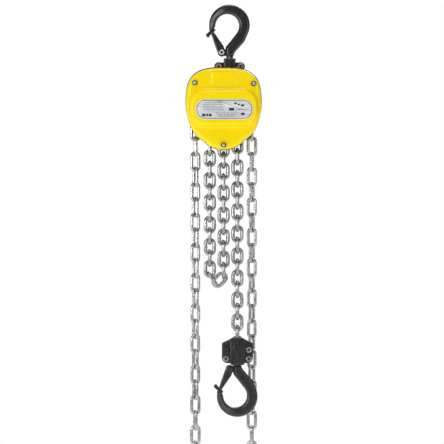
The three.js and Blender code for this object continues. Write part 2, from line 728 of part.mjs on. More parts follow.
add(hoist, 'gear_side_plate', sidePlate(true), BLACK_STEEL);
add(hoist, 'wheel_side_plate', sidePlate(false), BLACK_STEEL);
add(hoist, 'gear_cover', gearCover(), YELLOW);
add(hoist, 'name_plate', namePlate(), PLATE_SILVER, NAME_PLATE.x, 0, NAME_PLATE.z);
add(hoist, 'wheel_cover', wheelCover(), YELLOW);
add(hoist, 'gear_case', gearCase(), STEEL);
for (const { side, x, z, radius } of STAYS) {
  add(hoist, `stay_bolt_${side}`, stayBolt(radius), ZINC, x, 0, z);
  add(hoist, `front_nut_${side}`, hexNut(STAY.thread + GAP, STAY.nut, -36, -32.3), ZINC, x, 0, z);
  if (side !== 'bottom') {
    add(hoist, `spacer_${side}`, ring(radius + GAP, 7, -12.7, 12.7, 12), STEEL, x, 0, z);
  }
}

add(hoist, 'sheave_bearing_front', ring(12 + GAP, 17, -16.8, -13.2), STEEL);
add(hoist, 'sheave_bearing_rear', ring(12 + GAP, 17, 13.2, 16.8), STEEL);
add(hoist, 'load_sheave', loadSheave(), STEEL);
add(hoist, 'load_gear', loadGear(), STEEL);
add(hoist, 'cluster_gear_left', clusterGear(-1), STEEL, -GEAR_DISTANCE);
add(hoist, 'cluster_gear_right', clusterGear(1), STEEL, GEAR_DISTANCE);
add(hoist, 'drive_shaft', driveShaft(), STEEL);
add(hoist, 'brake_hub', brakeHub(), STEEL);
add(hoist, 'friction_disc_inner', ring(9 + GAP, 20, 21.8, 23.8), LINING);
add(hoist, 'ratchet_disc', ratchetDisc(), STEEL);
add(hoist, 'friction_disc_outer', ring(9 + GAP, 20, 28.4, 30.4), LINING);
add(hoist, 'hand_wheel', handWheel(), BLACK_STEEL);
add(hoist, 'hand_wheel_nut', hexNut(SHAFT_RADIUS + GAP, 9, 49.3, 54), ZINC);
add(hoist, 'chain_stripper', chainStripper(), STEEL, 0, 0, STRIPPER_Z);
for (const [side, sign] of [['left', -1], ['right', 1]]) {
  add(hoist, `pawl_${side}`, pawl(), STEEL, sign * PAWL_PIVOT.x, 0, sign * PAWL_PIVOT.z)
    .rotation.y = sign > 0 ? 0 : Math.PI;
  add(hoist, `pawl_pin_${side}`, pawlPin(), STEEL, sign * PAWL_PIVOT.x, 0, sign * PAWL_PIVOT.z);
  add(hoist, `chain_roller_${side}`, chainRoller(), STEEL, sign * ROLLER.x, 0, ROLLER.z);
}

add(hoist, 'load_chain_lift', liftChain(), ZINC);
add(hoist, 'load_chain_over_sheave', sheaveChain(), ZINC);
add(hoist, 'load_chain_slack', slackChain(), ZINC);
add(hoist, 'hand_chain', handChain(), ZINC);

const block = new THREE.Group();
block.position.set(LIFT_X, 0, 0);
hoist.add(block);
add(block, 'block_front_half', blockHalf(-1), BLACK_STEEL);
add(block, 'block_rear_half', blockHalf(1), BLACK_STEEL);
add(block, 'chain_pin', chainPin(), BLACK_STEEL, 0, 0, BLOCK.pinZ);
for (const [side, sign] of [['left', -1], ['right', 1]]) {
  for (const [row, z] of [['upper', BLOCK.screwZ[0]], ['lower', BLOCK.screwZ[1]]]) {
    add(block, `block_screw_${row}_${side}`, blockScrew(), ZINC, sign * BLOCK.screwX, 0, z);
  }
}

const loadHook = new THREE.Group();
loadHook.position.set(-HOOK.shankX, 0, BLOCK.bottom - LOAD_HOOK_NECK);
block.add(loadHook);
addHook(loadHook, 'load', LOAD_HOOK_NECK);

export default hoist;
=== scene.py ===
"""The looks of the hand chain hoist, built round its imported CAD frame.

Shapes are drawn in millimetres. Pieces of the body are measured from the sheave axis, and pieces of a
hook from the centre of its bowl. x runs to the right, y away from the name plate's viewer and z up.
"""
import json
import math

import bmesh
import bpy
import numpy as np

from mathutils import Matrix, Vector


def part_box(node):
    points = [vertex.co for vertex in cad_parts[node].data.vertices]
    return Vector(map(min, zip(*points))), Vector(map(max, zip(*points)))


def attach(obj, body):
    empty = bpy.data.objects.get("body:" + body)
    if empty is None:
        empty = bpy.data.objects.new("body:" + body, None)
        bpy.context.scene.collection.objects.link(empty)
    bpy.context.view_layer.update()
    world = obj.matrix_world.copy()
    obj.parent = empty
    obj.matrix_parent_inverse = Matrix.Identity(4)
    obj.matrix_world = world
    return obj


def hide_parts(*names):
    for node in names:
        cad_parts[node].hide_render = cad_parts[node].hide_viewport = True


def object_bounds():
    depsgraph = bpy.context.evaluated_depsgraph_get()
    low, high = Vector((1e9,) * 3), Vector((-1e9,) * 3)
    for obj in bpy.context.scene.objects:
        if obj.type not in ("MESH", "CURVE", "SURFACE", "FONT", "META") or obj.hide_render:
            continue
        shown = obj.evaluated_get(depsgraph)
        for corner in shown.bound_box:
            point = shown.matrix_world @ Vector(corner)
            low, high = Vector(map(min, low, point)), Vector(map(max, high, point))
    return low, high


MM = 0.001
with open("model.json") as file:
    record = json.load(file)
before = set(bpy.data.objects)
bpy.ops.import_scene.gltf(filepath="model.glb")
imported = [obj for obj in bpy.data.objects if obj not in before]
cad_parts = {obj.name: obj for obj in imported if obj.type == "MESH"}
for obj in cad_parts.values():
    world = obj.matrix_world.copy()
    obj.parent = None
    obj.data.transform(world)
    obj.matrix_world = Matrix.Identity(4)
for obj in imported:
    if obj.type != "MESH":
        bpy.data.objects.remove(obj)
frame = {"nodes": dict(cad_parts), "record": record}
CAD_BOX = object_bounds()


def millimetres(vector):
    return np.array(vector, float) / MM


def node_box(node):
    low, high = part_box(node)
    return millimetres(low), millimetres(high)


def node_centre(node):
    low, high = node_box(node)
    return (low + high) / 2


def mount_point(name):
    mounts = {mount["name"]: mount for mount in frame["record"]["mounts"]}
    return millimetres(mounts[name]["pos_m"])


# ---- driving dimensions

AXIS = node_centre("hand_wheel") * (1, 0, 1)
LOAD_CHAIN = {"pitch": 18.0, "wire": 6.0, "width": 20.0}
HAND_CHAIN = {"pitch": 25.0, "wire": 5.0, "width": 17.5}
CAD_LINK_END = 14.45
BOWL = 19.4
PLATE = {"inner": 13.0, "outer": 17.0, "lip": 0.65, "rise": 1.2}
COVER = {"front": -32.0, "bulge": -43.5, "back": 62.0, "boss": 65.0, "wall": 2.0, "panel": 1.5}
RIM_GAP = 0.3
STAYS = {
    side: tuple((node_centre(f"stay_bolt_{side}") - AXIS)[[0, 2]])
    for side in ("left", "right", "bottom")
}
SIDES = (("left", -1), ("right", 1))
HALVES = (("front", -1), ("rear", 1))
HOOKS = {
    "top": {"centre": mount_point("hanging_saddle") - (0, 0, BOWL), "up": -1, "neck": 53.2},
    "load": {"centre": mount_point("load_hook_saddle") + (0, 0, BOWL), "up": 1, "neck": 50.0},
}

# ---- shapes: (vertices, faces) pairs


def circle(radius, count=48, x=0.0, z=0.0, start=0.0):
    angles = np.radians(start) + np.arange(count) * 2 * math.pi / count
    return np.column_stack((x + radius * np.cos(angles), z + radius * np.sin(angles)))


def arc(x, z, radius, first, last, step=4.0):
    count = max(2, int(abs(last - first) / step) + 1)
    angles = np.radians(np.linspace(first, last, count))
    return np.column_stack((x + radius * np.cos(angles), z + radius * np.sin(angles)))


def mirrored(half):
    """A closed outline from its right half, listed from top to bottom."""
    half = np.array(half, float)
    return np.vstack((half, half[::-1] * (-1, 1)))


def counterclockwise(points):
    x, z = points[:, 0], points[:, 1]
    area = np.sum(x * np.roll(z, -1) - np.roll(x, -1) * z)
    return points if area > 0 else points[::-1]


def resampled(points, spacing):
    """The closed outline with evenly spaced points."""
    closed = np.vstack((points, points[:1]))
    length = np.concatenate(([0], np.cumsum(np.linalg.norm(np.diff(closed, axis=0), axis=1))))
    count = max(12, int(length[-1] / spacing))
    at = np.arange(count) * length[-1] / count
    return np.column_stack([np.interp(at, length, closed[:, k]) for k in (0, 1)])


def relaxed(points, spacing=0.8, passes=3):
    """Resamples an outline and rounds its corners."""
    points = resampled(counterclockwise(np.array(points, float)), spacing)
    for _ in range(passes):
        points = (np.roll(points, 1, 0) + 2 * points + np.roll(points, -1, 0)) / 4
    return points


def spline(knots, per_span=8, closed=False):
    """A Catmull-Rom curve through the knots."""
    knots = np.array(knots, float)
    first, last = (knots[-1:], knots[:2]) if closed else (knots[:1], knots[-1:])
    padded = np.vstack((first, knots, last))
    t = (np.arange(per_span) / per_span)[:, None]
    spans = []
    for a, b, c, d in zip(padded, padded[1:], padded[2:], padded[3:]):
        spans.append(0.5 * (2 * b + (c - a) * t + (2 * a - 5 * b + 4 * c - d) * t**2
                            + (3 * b - 3 * c + d - a) * t**3))
    return np.vstack(spans if closed else spans + [knots[-1:]])


def inset(points, distance):
    """A counterclockwise outline moved inwards along its corner normals."""
    before = points - np.roll(points, 1, 0)
    after = np.roll(points, -1, 0) - points
    before /= np.maximum(np.linalg.norm(before, axis=1), 1e-9)[:, None]
    after /= np.maximum(np.linalg.norm(after, axis=1), 1e-9)[:, None]
    normal = np.column_stack((-(before + after)[:, 1], (before + after)[:, 0]))
    normal /= np.maximum(np.linalg.norm(normal, axis=1), 1e-9)[:, None]
    slant = np.clip(normal[:, 1] * before[:, 0] - normal[:, 0] * before[:, 1], 0.5, 1)
    return points + normal * (distance / slant)[:, None]


def skin(rings, closed_path=False, caps=True):
    """Joins rings of equal length, each an array of 3-D points, into a skin with n-gon caps."""
    count = len(rings[0])
    vertices = np.vstack(rings)
    faces = []
    pairs = list(range(len(rings) - 1)) + ([len(rings) - 1] if closed_path else [])
    for i in pairs:
        a, b = i * count, (i + 1) % len(rings) * count
        for j in range(count):
            k = (j + 1) % count
            faces.append((a + j, b + j, b + k, a + k))
    if caps and not closed_path:
        faces.append(tuple(range(count)))
        faces.append(tuple(range(len(vertices) - 1, len(vertices) - count - 1, -1)))
    return vertices, faces


def at_depth(points, y):
    return np.column_stack((points[:, 0], np.full(len(points), y), points[:, 1]))


def outline_distance(places, points):
    """How far each place is from the closed outline."""
    side = np.roll(points, -1, 0) - points
    reach = places[:, None] - points
    along = np.sum(reach * side, axis=2) / np.maximum(np.sum(side * side, axis=1), 1e-12)
    gap = reach - np.clip(along, 0, 1)[..., None] * side
    return np.linalg.norm(gap, axis=2).min(axis=1)


INSET_TRIES = 22
CLEAR_SHARE, CLEAR_SLACK, SAFE_SHARE = 0.96, 0.01, 0.88
FACE_MARGIN = 0.3


def inset_limits(points, most):
    """How far each point can move inwards before it meets the outline's middle line."""
    limits = np.zeros(len(points))
    moving = np.ones(len(points), bool)
    for distance in np.linspace(0, most, INSET_TRIES)[1:]:
        gap = outline_distance(inset(points, distance), points)
        moving &= gap > CLEAR_SHARE * distance - CLEAR_SLACK
        limits[moving] = distance
    return np.where(limits < most, SAFE_SHARE * limits, limits)


def slab(points, y0, y1, front=0.0, back=0.0, steps=4):
    """An outline between depths y0 and y1, its front and back edges rounded."""
    points = counterclockwise(np.array(points, float))
    widest = max(front, back)
    limits = inset_limits(points, widest + FACE_MARGIN) if widest > 0 else None

    def edge(y, radius, direction):
        if radius <= 0:
            return [at_depth(points, y)]
        reaches = [radius + FACE_MARGIN]
        reaches += [radius * (1 - math.sin(math.pi / 2 * i / steps)) for i in range(steps + 1)]
        loops = []
        for reach in reaches:
            moved_in = np.minimum(limits, reach)
            sink = radius - np.sqrt(np.maximum(radius**2 - np.maximum(radius - moved_in, 0) ** 2, 0))
            loops.append(at_depth(inset(points, moved_in), y) + np.outer(direction * sink, (0, 1, 0)))
        return loops

    return skin(edge(y0, front, 1) + edge(y1, back, -1)[::-1])


def short_of(corner, other, radius, share=0.45):
    """A step from a corner towards another point, as long as the radius where there is room."""
    reach = other - corner
    length = np.linalg.norm(reach)
    return reach / max(length, 1e-9) * min(radius, length * share)


def softened(profile, radius, steps=3):
    """A profile with its inner corners rounded; both ends stay."""
    profile = [np.array(point, float) for point in profile]
    result = [profile[0]]
    for before, corner, after in zip(profile, profile[1:], profile[2:]):
        start, end = (corner + short_of(corner, other, radius) for other in (before, after))
        for t in np.arange(steps + 1) / steps:
            result.append((1 - t) ** 2 * start + 2 * t * (1 - t) * corner + t**2 * end)
    return result + [profile[-1]]


def lathe(profile, sides=48, soft=0.4, closed=False):
    """A profile of (radius, depth) points turned about the y axis through the origin."""
    if closed:
        middle = (np.array(profile[0]) + profile[-1]) / 2
        profile = [middle, *profile, middle]
    points = softened(profile, soft) if soft else [np.array(point, float) for point in profile]
    if closed:
        points = points[:-1]
    points = [point for point in points if point[0] > 0]
    angles = np.arange(sides) * 2 * math.pi / sides
    rings = [np.column_stack((r * np.cos(angles), np.full(sides, y), r * np.sin(angles))) for r, y in points]
    return skin(rings, closed_path=closed)


def merged(*shapes):
    vertices, faces, start = [], [], 0
    for shape_vertices, shape_faces in shapes:
        vertices.append(shape_vertices)
        faces += [tuple(start + index for index in face) for face in shape_faces]
        start += len(shape_vertices)
    return np.vstack(vertices), faces


def moved(shape, x=0.0, y=0.0, z=0.0):
    return shape[0] + np.array((x, y, z), float), shape[1]


def tipped(shape):
    """Turns a shape made about the y axis so that it stands along z."""
    vertices, faces = shape
    return np.column_stack((vertices[:, 0], -vertices[:, 2], vertices[:, 1])), faces


def turned(shape, degrees):
    """Turns a shape about the y axis, counterclockwise as the viewer sees it."""
    c, s = math.cos(math.radians(degrees)), math.sin(math.radians(degrees))
    x, y, z = shape[0].T
    return np.column_stack((x * c - z * s, y, x * s + z * c)), shape[1]


def rod(x, z, radius, y0=-100.0, y1=100.0, sides=40, soft=0.0):
    """A cylinder along y."""
    return moved(lathe([(0, y0), (radius, y0), (radius, y1), (0, y1)], sides, soft), x, 0, z)


def upright(x, radius, z0, z1):
    """A cylinder along z."""
    return moved(tipped(rod(0, 0, radius, z0, z1)), x)


def both_ends(half):
    """A lathe profile from its front half, mirrored to the rear."""
    return half + [(radius, -y) for radius, y in half[::-1]]


def half_slab(facing, outline, inner, outer, ease, joint=0.2):
    """A slab in front of or behind the middle plane; ease rounds its outer edge, joint its inner one."""
    if facing < 0:
        return slab(outline, -outer, -inner, ease, joint)
    return slab(outline, inner, outer, joint, ease)


def half_rod(facing, x, z, radius, inner, outer, sides, soft):
    y0, y1 = sorted((facing * inner, facing * outer))
    return rod(x, z, radius, y0, y1, sides, soft)


def block(x0, x1, y0, y1, z0, z1, radius=0.0):
    return slab([(x0, z0), (x1, z0), (x1, z1), (x0, z1)], y0, y1, radius, radius, 2)


# ---- Blender objects


CREASE = math.radians(32)
MERGE_DISTANCE = 1e-7


def raw_object(name, shape):
    mesh = bpy.data.meshes.new(name)
    mesh.from_pydata((shape[0] * MM).tolist(), [], shape[1])
    work = bmesh.new()
    work.from_mesh(mesh)
    bmesh.ops.remove_doubles(work, verts=work.verts, dist=MERGE_DISTANCE)
    bmesh.ops.recalc_face_normals(work, faces=work.faces)
    bmesh.ops.triangulate(work, faces=[face for face in work.faces if len(face.verts) > 4])
    work.to_mesh(mesh)
    work.free()
    made = bpy.data.objects.new(name, mesh)
    bpy.context.scene.collection.objects.link(made)
    return made


def apply_modifiers(made):
    evaluated = made.evaluated_get(bpy.context.evaluated_depsgraph_get())
    old = made.data
    made.data = bpy.data.meshes.new_from_object(evaluated)
    made.modifiers.clear()
    bpy.data.meshes.remove(old)


def combine(made, steps):
    """Carries out (operation, shape) steps on an object, in order."""
    tools = []
    for operation, shape in steps:
        tools.append(raw_object("tool", shape))
        modifier = made.modifiers.new("combine", "BOOLEAN")
        modifier.operation = operation
        modifier.solver = "MANIFOLD"
        modifier.object = tools[-1]
    if tools:
        apply_modifiers(made)
    for tool in tools:
        bpy.data.objects.remove(tool)


def piece(name, shape, material, body, replaces=(), join=(), cut=(), keep=(), place=None):
    """One finished piece: its shape, what is joined to it and cut from it, its material and body."""
    made = raw_object(name, shape)
    steps = [("INTERSECT", shape) for shape in keep] + [("UNION", shape) for shape in join]
    combine(made, steps + [("DIFFERENCE", shape) for shape in cut])
    offset = AXIS if place is None else np.array(place["centre"], float)
    up = 1 if place is None else place["up"]
    for vertex in made.data.vertices:
        x, y, z = np.array(vertex.co) / MM
        vertex.co = (offset + (x, up * y, up * z)) * MM
    made.data.shade_smooth()
    made.data.set_sharp_from_angle(angle=CREASE)
    flats = made.modifiers.new("flats", "WEIGHTED_NORMAL")
    flats.keep_sharp = True
    apply_modifiers(made)
    made.data.materials.clear()
    made.data.materials.append(material)
    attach(made, body)
    for node in replaces:
        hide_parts(node)


# ---- materials


def color_ramp(tree, source, stops):
    """A ramp from a value to a colour; each stop is a position and a colour."""
    ramp = tree.nodes.new("ShaderNodeValToRGB")
    elements = ramp.color_ramp.elements
    while len(elements) < len(stops):
        elements.new(0.5)
    for element, (position, color) in zip(elements, stops):
        element.position = position
        element.color = (*color, 1)
    tree.links.new(source, ramp.inputs["Fac"])
    return ramp.outputs["Color"]


class Finish:
    """A procedural material: shared helpers for its node tree."""

    def __init__(self, name, color, roughness, metallic, **sockets):
        self.material = bpy.data.materials.new(name)
        self.material.use_nodes = True
        self.tree = self.material.node_tree
        self.shader = self.tree.nodes["Principled BSDF"]
        self.shader.inputs["Base Color"].default_value = (*color, 1)
        self.shader.inputs["Roughness"].default_value = roughness
        self.shader.inputs["Metallic"].default_value = metallic
        for socket, value in sockets.items():
            self.shader.inputs[socket.replace("_", " ")].default_value = value
        self.place = self.tree.nodes.new("ShaderNodeTexCoord").outputs["Object"]

    def noise(self, scale, detail=3.0, stretch=None):
        texture = self.tree.nodes.new("ShaderNodeTexNoise")
        texture.inputs["Scale"].default_value = scale
        texture.inputs["Detail"].default_value = detail
        source = self.place
        if stretch:
            mapping = self.tree.nodes.new("ShaderNodeMapping")
            mapping.inputs["Scale"].default_value = stretch
            self.tree.links.new(source, mapping.inputs["Vector"])
            source = mapping.outputs["Vector"]
        self.tree.links.new(source, texture.inputs["Vector"])
        return texture.outputs["Fac"]

    def color(self, source, dark, light, low=0.3, high=0.7):
        """Turns the base colour from dark to light as the source goes from low to high."""
        ramp = color_ramp(self.tree, source, ((low, dark), (high, light)))
        self.tree.links.new(ramp, self.shader.inputs["Base Color"])

    def roughness(self, source, low, high):
        span = self.tree.nodes.new("ShaderNodeMapRange")
        for key, value in (("From Min", 0.3), ("From Max", 0.7), ("To Min", low), ("To Max", high)):
            span.inputs[key].default_value = value
        self.tree.links.new(source, span.inputs["Value"])
        self.tree.links.new(span.outputs["Result"], self.shader.inputs["Roughness"])

    def bump(self, *layers):
        """Stacks (height, strength, distance) bumps."""
        normal = None
        for height, strength, distance in layers:
            node = self.tree.nodes.new("ShaderNodeBump")
            node.inputs["Strength"].default_value = strength
            node.inputs["Distance"].default_value = distance
            self.tree.links.new(height, node.inputs["Height"])
            if normal:
                self.tree.links.new(normal, node.inputs["Normal"])
            normal = node.outputs["Normal"]
        self.tree.links.new(normal, self.shader.inputs["Normal"])


def yellow_paint():
    finish = Finish("yellow_powder_coat", (0.9, 0.68, 0.0), 0.25, 0.0, Coat_Weight=0.1,
                    Coat_Roughness=0.12, Specular_IOR_Level=0.2)
    finish.color(finish.noise(28, 4), (0.89, 0.655, 0.0), (0.92, 0.70, 0.0))
    finish.roughness(finish.noise(90, 4), 0.2, 0.3)
    finish.bump((finish.noise(700, 2), 0.12, 0.0003), (finish.noise(55, 2), 0.08, 0.001))
    return finish.material


def black_forging():
    finish = Finish("black_forging", (0.008, 0.010, 0.010), 0.36, 0.0, Specular_IOR_Level=0.7)
    finish.color(finish.noise(60, 5), (0.001, 0.0018, 0.0018), (0.004, 0.0065, 0.0068), low=0.35)
    finish.roughness(finish.noise(180, 4), 0.22, 0.36)
    finish.bump((finish.noise(900, 3), 0.25, 0.0002), (finish.noise(160, 3), 0.25, 0.0005))
    return finish.material


def black_plate():
    finish = Finish("black_painted_plate", (0.02, 0.02, 0.022), 0.45, 0.1)
    finish.color(finish.noise(50, 4), (0.014, 0.014, 0.016), (0.034, 0.034, 0.036))
    finish.roughness(finish.noise(200, 4), 0.35, 0.55)
    finish.bump((finish.noise(800, 2), 0.2, 0.0002))
    return finish.material


def zinc(name, dark, light, rough, bumps=1.0):
    finish = Finish(name, light, rough, 1.0)
    finish.color(finish.noise(120, 4), dark, light)
    finish.roughness(finish.noise(260, 3), rough - 0.07, rough + 0.1)
    finish.bump((finish.noise(1100, 3), 0.18 * bumps, 0.0002),
                (finish.noise(300, 2), 0.15 * bumps, 0.0004))
    return finish.material


def machined_steel():
    finish = Finish("machined_steel", (0.45, 0.46, 0.47), 0.32, 1.0)
    lines = finish.noise(350, 2, stretch=(1, 14, 1))
    finish.color(finish.noise(80, 4), (0.36, 0.365, 0.37), (0.52, 0.53, 0.54))
    finish.roughness(lines, 0.25, 0.45)
    finish.bump((lines, 0.12, 0.0002))
    return finish.material


def silver_label():
    finish = Finish("printed_label", (0.68, 0.70, 0.71), 0.35, 0.3)
    brushed = finish.noise(240, 3, stretch=(0.06, 1, 1))
    finish.color(brushed, (0.60, 0.63, 0.63), (0.80, 0.82, 0.81))
    finish.roughness(brushed, 0.28, 0.42)
    finish.bump((brushed, 0.06, 0.0001))
    return finish.material


# A flat dark finish, used both for the label's real print and for discs of painted shade in sockets and
# hollows.
def ink_and_painted_shade(name, color):
    finish = Finish(name, color, 0.5, 0.0)
    finish.color(finish.noise(500, 2), tuple(channel * 0.8 for channel in color), color)
    finish.bump((finish.noise(1500, 2), 0.05, 0.0001))
    return finish.material


def brake_lining():
    finish = Finish("brake_lining", (0.2, 0.14, 0.1), 0.9, 0.0)
    finish.color(finish.noise(900, 4), (0.12, 0.08, 0.06), (0.30, 0.22, 0.16), 0.35, 0.65)
    finish.bump((finish.noise(1200, 4), 0.5, 0.0003))
    return finish.material


YELLOW = yellow_paint()
FORGED = black_forging()
PLATE_BLACK = black_plate()
CHAIN_ZINC = zinc("zinc_chain", (0.40, 0.405, 0.40), (0.54, 0.545, 0.54), 0.22, 0.35)
LOAD_CHAIN_ZINC = zinc("zinc_load_chain", (0.26, 0.265, 0.265), (0.42, 0.425, 0.42), 0.22, 0.3)
BOLT_ZINC = zinc("zinc_fastener", (0.34, 0.34, 0.36), (0.5, 0.5, 0.52), 0.25)
STUD_ZINC = zinc("zinc_stud", (0.6, 0.6, 0.62), (0.75, 0.75, 0.77), 0.32)
NUT_ZINC = zinc("zinc_nut", (0.12, 0.12, 0.15), (0.2, 0.2, 0.24), 0.3)
STEEL = machined_steel()
LABEL = silver_label()
INK = ink_and_painted_shade("label_ink", (0.20, 0.21, 0.22))
BOLD_INK = ink_and_painted_shade("label_bold_ink", (0.012, 0.014, 0.018))
BORDER_INK = ink_and_painted_shade("label_border", (0.05, 0.045, 0.12))
# Near-black painted shade for discs set inside screw sockets and rivet hollows, where the recess would be in
# shadow.
SOCKET_PAINTED_SHADE = ink_and_painted_shade("socket_shadow", (0.006, 0.006, 0.007))
LINING = brake_lining()

SLOT_MATERIALS = {
    "yellow_paint": YELLOW, "black_forging": FORGED, "black_plate": PLATE_BLACK, "zinc_chain": CHAIN_ZINC,
    "zinc_fastener": BOLT_ZINC, "machined_steel": STEEL, "silver_label": LABEL, "brake_lining": LINING,
}


def dress_cad_nodes():
    """Gives every CAD node its slot's material."""
    slots = {part["node"]: part["material_slot"] for part in frame["record"]["subparts"]}
    for name, node in frame["nodes"].items():
        node.data.materials.clear()
        node.data.materials.append(SLOT_MATERIALS[slots[name]])


# ---- covers and plates

HOUSING_HALF = [
    (0, 63.2), (20, 62.3), (37, 58.5), (50, 49.9), (57.5, 37.3), (60.8, 19.6), (61.2, 2),
    (59.2, -13), (53, -33), (44.5, -45), (33, -54.5), (24, -62), (13, -67), (0, -69),
]
SPOKES = 360
COVER_MIDDLE = (0.0, -2.0)
BULGE = {"half": 56.0, "bottom": -32.0, "top": 28.0, "corner": 26.0}


def housing(grow=0.0):
    left = [(-x, z) for x, z in HOUSING_HALF[-2:0:-1]]
    outline = counterclockwise(spline(HOUSING_HALF + left, 14, closed=True))
    return inset(outline, -grow) if grow else outline


def rounded_bar(half, bottom, top, corner):
    x, low, high = half - corner, bottom + corner, top - corner
    corners = ((x, high), (-x, high), (-x, low), (x, low))
    return np.vstack([arc(*centre, corner, 90 * i, 90 * i + 90) for i, centre in enumerate(corners)])


def bulge_outline(grow=0.0):
    bottom, top = BULGE["bottom"] - grow, BULGE["top"] + grow
    return rounded_bar(BULGE["half"] + grow, bottom, top, BULGE["corner"] + grow)


def spoke_loop(outline):
    """The outline's points where evenly turned rays from the cover's middle meet it."""
    fine = resampled(counterclockwise(outline), 0.5) - COVER_MIDDLE
    angles = np.arctan2(fine[:, 1], fine[:, 0])
    order = np.argsort(angles)
    rays = np.arange(SPOKES) * 2 * math.pi / SPOKES - math.pi
    radius = np.interp(rays, angles[order], np.linalg.norm(fine, axis=1)[order], period=2 * math.pi)
    return np.column_stack((np.cos(rays), np.sin(rays))) * radius[:, None] + COVER_MIDDLE


def smooth_step(value, low, high):
    t = np.clip((value - low) / (high - low), 0, 1)
    return t * t * (3 - 2 * t)


def shell(name, rings, node, cut):
    """A cover: a skin of rings from its middle outwards to its open rim, given its wall."""
    vertices, faces = skin(rings, caps=False)
    faces.append(tuple(range(SPOKES)))
    made = raw_object(name, (vertices, faces))
    if sum(face.center.y * face.normal.y for face in made.data.polygons) < 0:
        made.data.flip_normals()
    wall = made.modifiers.new("wall", "SOLIDIFY")
    wall.thickness = COVER["wall"] * MM
    wall.offset = -1
    apply_modifiers(made)
    shape = (np.array([vertex.co for vertex in made.data.vertices]) / MM,
             [tuple(face.vertices) for face in made.data.polygons])
    bpy.data.objects.remove(made)
    piece(name, shape, YELLOW, "hoist_body", [node], cut=cut)


def ring_at(outline, depth):
    return at_depth(spoke_loop(outline), depth)


def eased_rings(outline_at, start, end, steps=6, concave=False):
    """Rings round a quarter turn between two (offset, depth) pairs; outline_at takes the offset."""
    rings = []
    for i in range(steps + 1):
        angle = math.pi / 2 * i / steps
        along, sunk = math.sin(angle), 1 - math.cos(angle)
        if concave:
            along, sunk = sunk, along
        offset = start[0] + (end[0] - start[0]) * along
        rings.append(ring_at(outline_at(offset), start[1] + (end[1] - start[1]) * sunk))
    return rings


def panel_share(x, z):
    """1 on the raised panel above the bulge and 0 off it, with a soft step between."""
    return (smooth_step(x, -21, -17.5) - smooth_step(x, 19, 22.5)) * smooth_step(z, 33, 38)


def gear_cover():
    front, crest = COVER["front"], COVER["bulge"]
    crest_loop = spoke_loop(bulge_outline(-8)) - COVER_MIDDLE
    rings = [at_depth(crest_loop * share + COVER_MIDDLE, crest) for share in (0.03, 0.3, 0.6, 0.85, 1.0)]
    rings += eased_rings(bulge_outline, (-6.5, crest), (-0.8, crest + 6))
    rings += eased_rings(bulge_outline, (-0.6, front - 4), (4, front), concave=True)
    inner, outer = spoke_loop(bulge_outline(4)), spoke_loop(housing(-7))
    inside = np.linalg.norm(inner, axis=1) < np.linalg.norm(outer, axis=1) - 0.5
    for share in np.linspace(0.08, 1, 14):
        loop = np.where(inside[:, None], inner * (1 - share) + outer * share, outer)
        x, z = loop.T
        ring = at_depth(loop, front)
        ring[:, 1] -= COVER["panel"] * panel_share(x, z) * (1 - smooth_step(z, 57, 62))
        rings.append(ring)
    rings += eased_rings(housing, (-7, front), (0, front + 7), 8)
    rings.append(ring_at(housing(), -PLATE["outer"] - RIM_GAP))
    holes = [rod(x, z, 2.8, front - 5, front + 6, 24) for x, z in STAYS.values()]
    shell("gear_cover_shell", rings, "gear_cover", holes)


def disc(radius):
    return circle(radius, 90)


def wheel_cover():
    back, boss, rim = COVER["back"], COVER["boss"], PLATE["outer"] + RIM_GAP
    rings = [ring_at(disc(26 * share), boss) for share in (0.04, 0.5, 1.0)]
    rings += eased_rings(disc, (26.5, boss), (29, boss - 1.5), 4)
    rings += eased_rings(disc, (29.2, boss - 1.5), (31.5, back), 4, concave=True)
    inner, outer = spoke_loop(disc(31.5)), spoke_loop(housing(-7))
    rings += [at_depth(inner * (1 - share) + outer * share, back) for share in np.linspace(0.1, 1, 10)]
    rings += eased_rings(housing, (-7, back), (0, back - 7), 8)
    rings += [ring_at(housing(), depth) for depth in (50, 40, 30, rim)]
    window = ((35, -18), (35, -66), (66, -66), (66, -18))
    cuts = [slab(relaxed([(sign * x, z) for x, z in window], 0.8, 12), 34.8, 55.2) for _, sign in SIDES]
    cuts += [rod(x, z, 4.3, back - 5, back + 5, 24) for x, z in STAYS.values()]
    shell("wheel_cover_shell", rings, "wheel_cover", cuts)


def side_plates():
    outline = housing(PLATE["lip"]) + (0, PLATE["rise"])
    shared = [rod(0, 0, 17.2)] + [rod(x, z, 4.2) for x, z in STAYS.values()]
    shared += [rod(9.8, 48, 5.2), rod(0, -42, 2.7), rod(-40, -12, 3.2), rod(40, -12, 3.2)]
    inner, outer = PLATE["inner"], PLATE["outer"]
    for node, y0, y1, own in (
        ("gear_side_plate", -outer, -inner, [rod(-25, 0, 3.7), rod(25, 0, 3.7)]),
        ("wheel_side_plate", inner, outer, [rod(33, -16, 3.2), rod(-33, 16, 3.2)]),
    ):
        piece(f"{node}_body", slab(outline, y0, y1, 0.5, 0.5, 2), PLATE_BLACK, "hoist_body", [node],
              cut=shared + own)


LABEL_MIDDLE = (node_centre("name_plate") - AXIS)[[0, 2]]
LABEL_HALF = (node_box("name_plate")[1] - node_box("name_plate")[0])[[0, 2]] / 2
PRINT_FRONT = node_box("name_plate")[0][1] + 0.01
PLATE_FRONT = PRINT_FRONT + 0.08
PRINT_BACK = PLATE_FRONT + 0.1
PLATE_BACK = -43.6
BORDER_MARGIN, BORDER_WIDTH = 1.5, 0.9

# Rows of plain dashes: height, start and length.
DASH_ROWS = (
    (10.2, -33, 28), (7.3, -35, 33), (4.4, -34, 35), (1.5, -35, 34), (-1.4, -34, 33), (-6.2, -14, 38),
    (-9.2, -12, 30), (-11.4, -10, 24), (-1.0, 18, 11),
)
DASH_HEIGHT, DASH_GAP = 1.1, 0.9
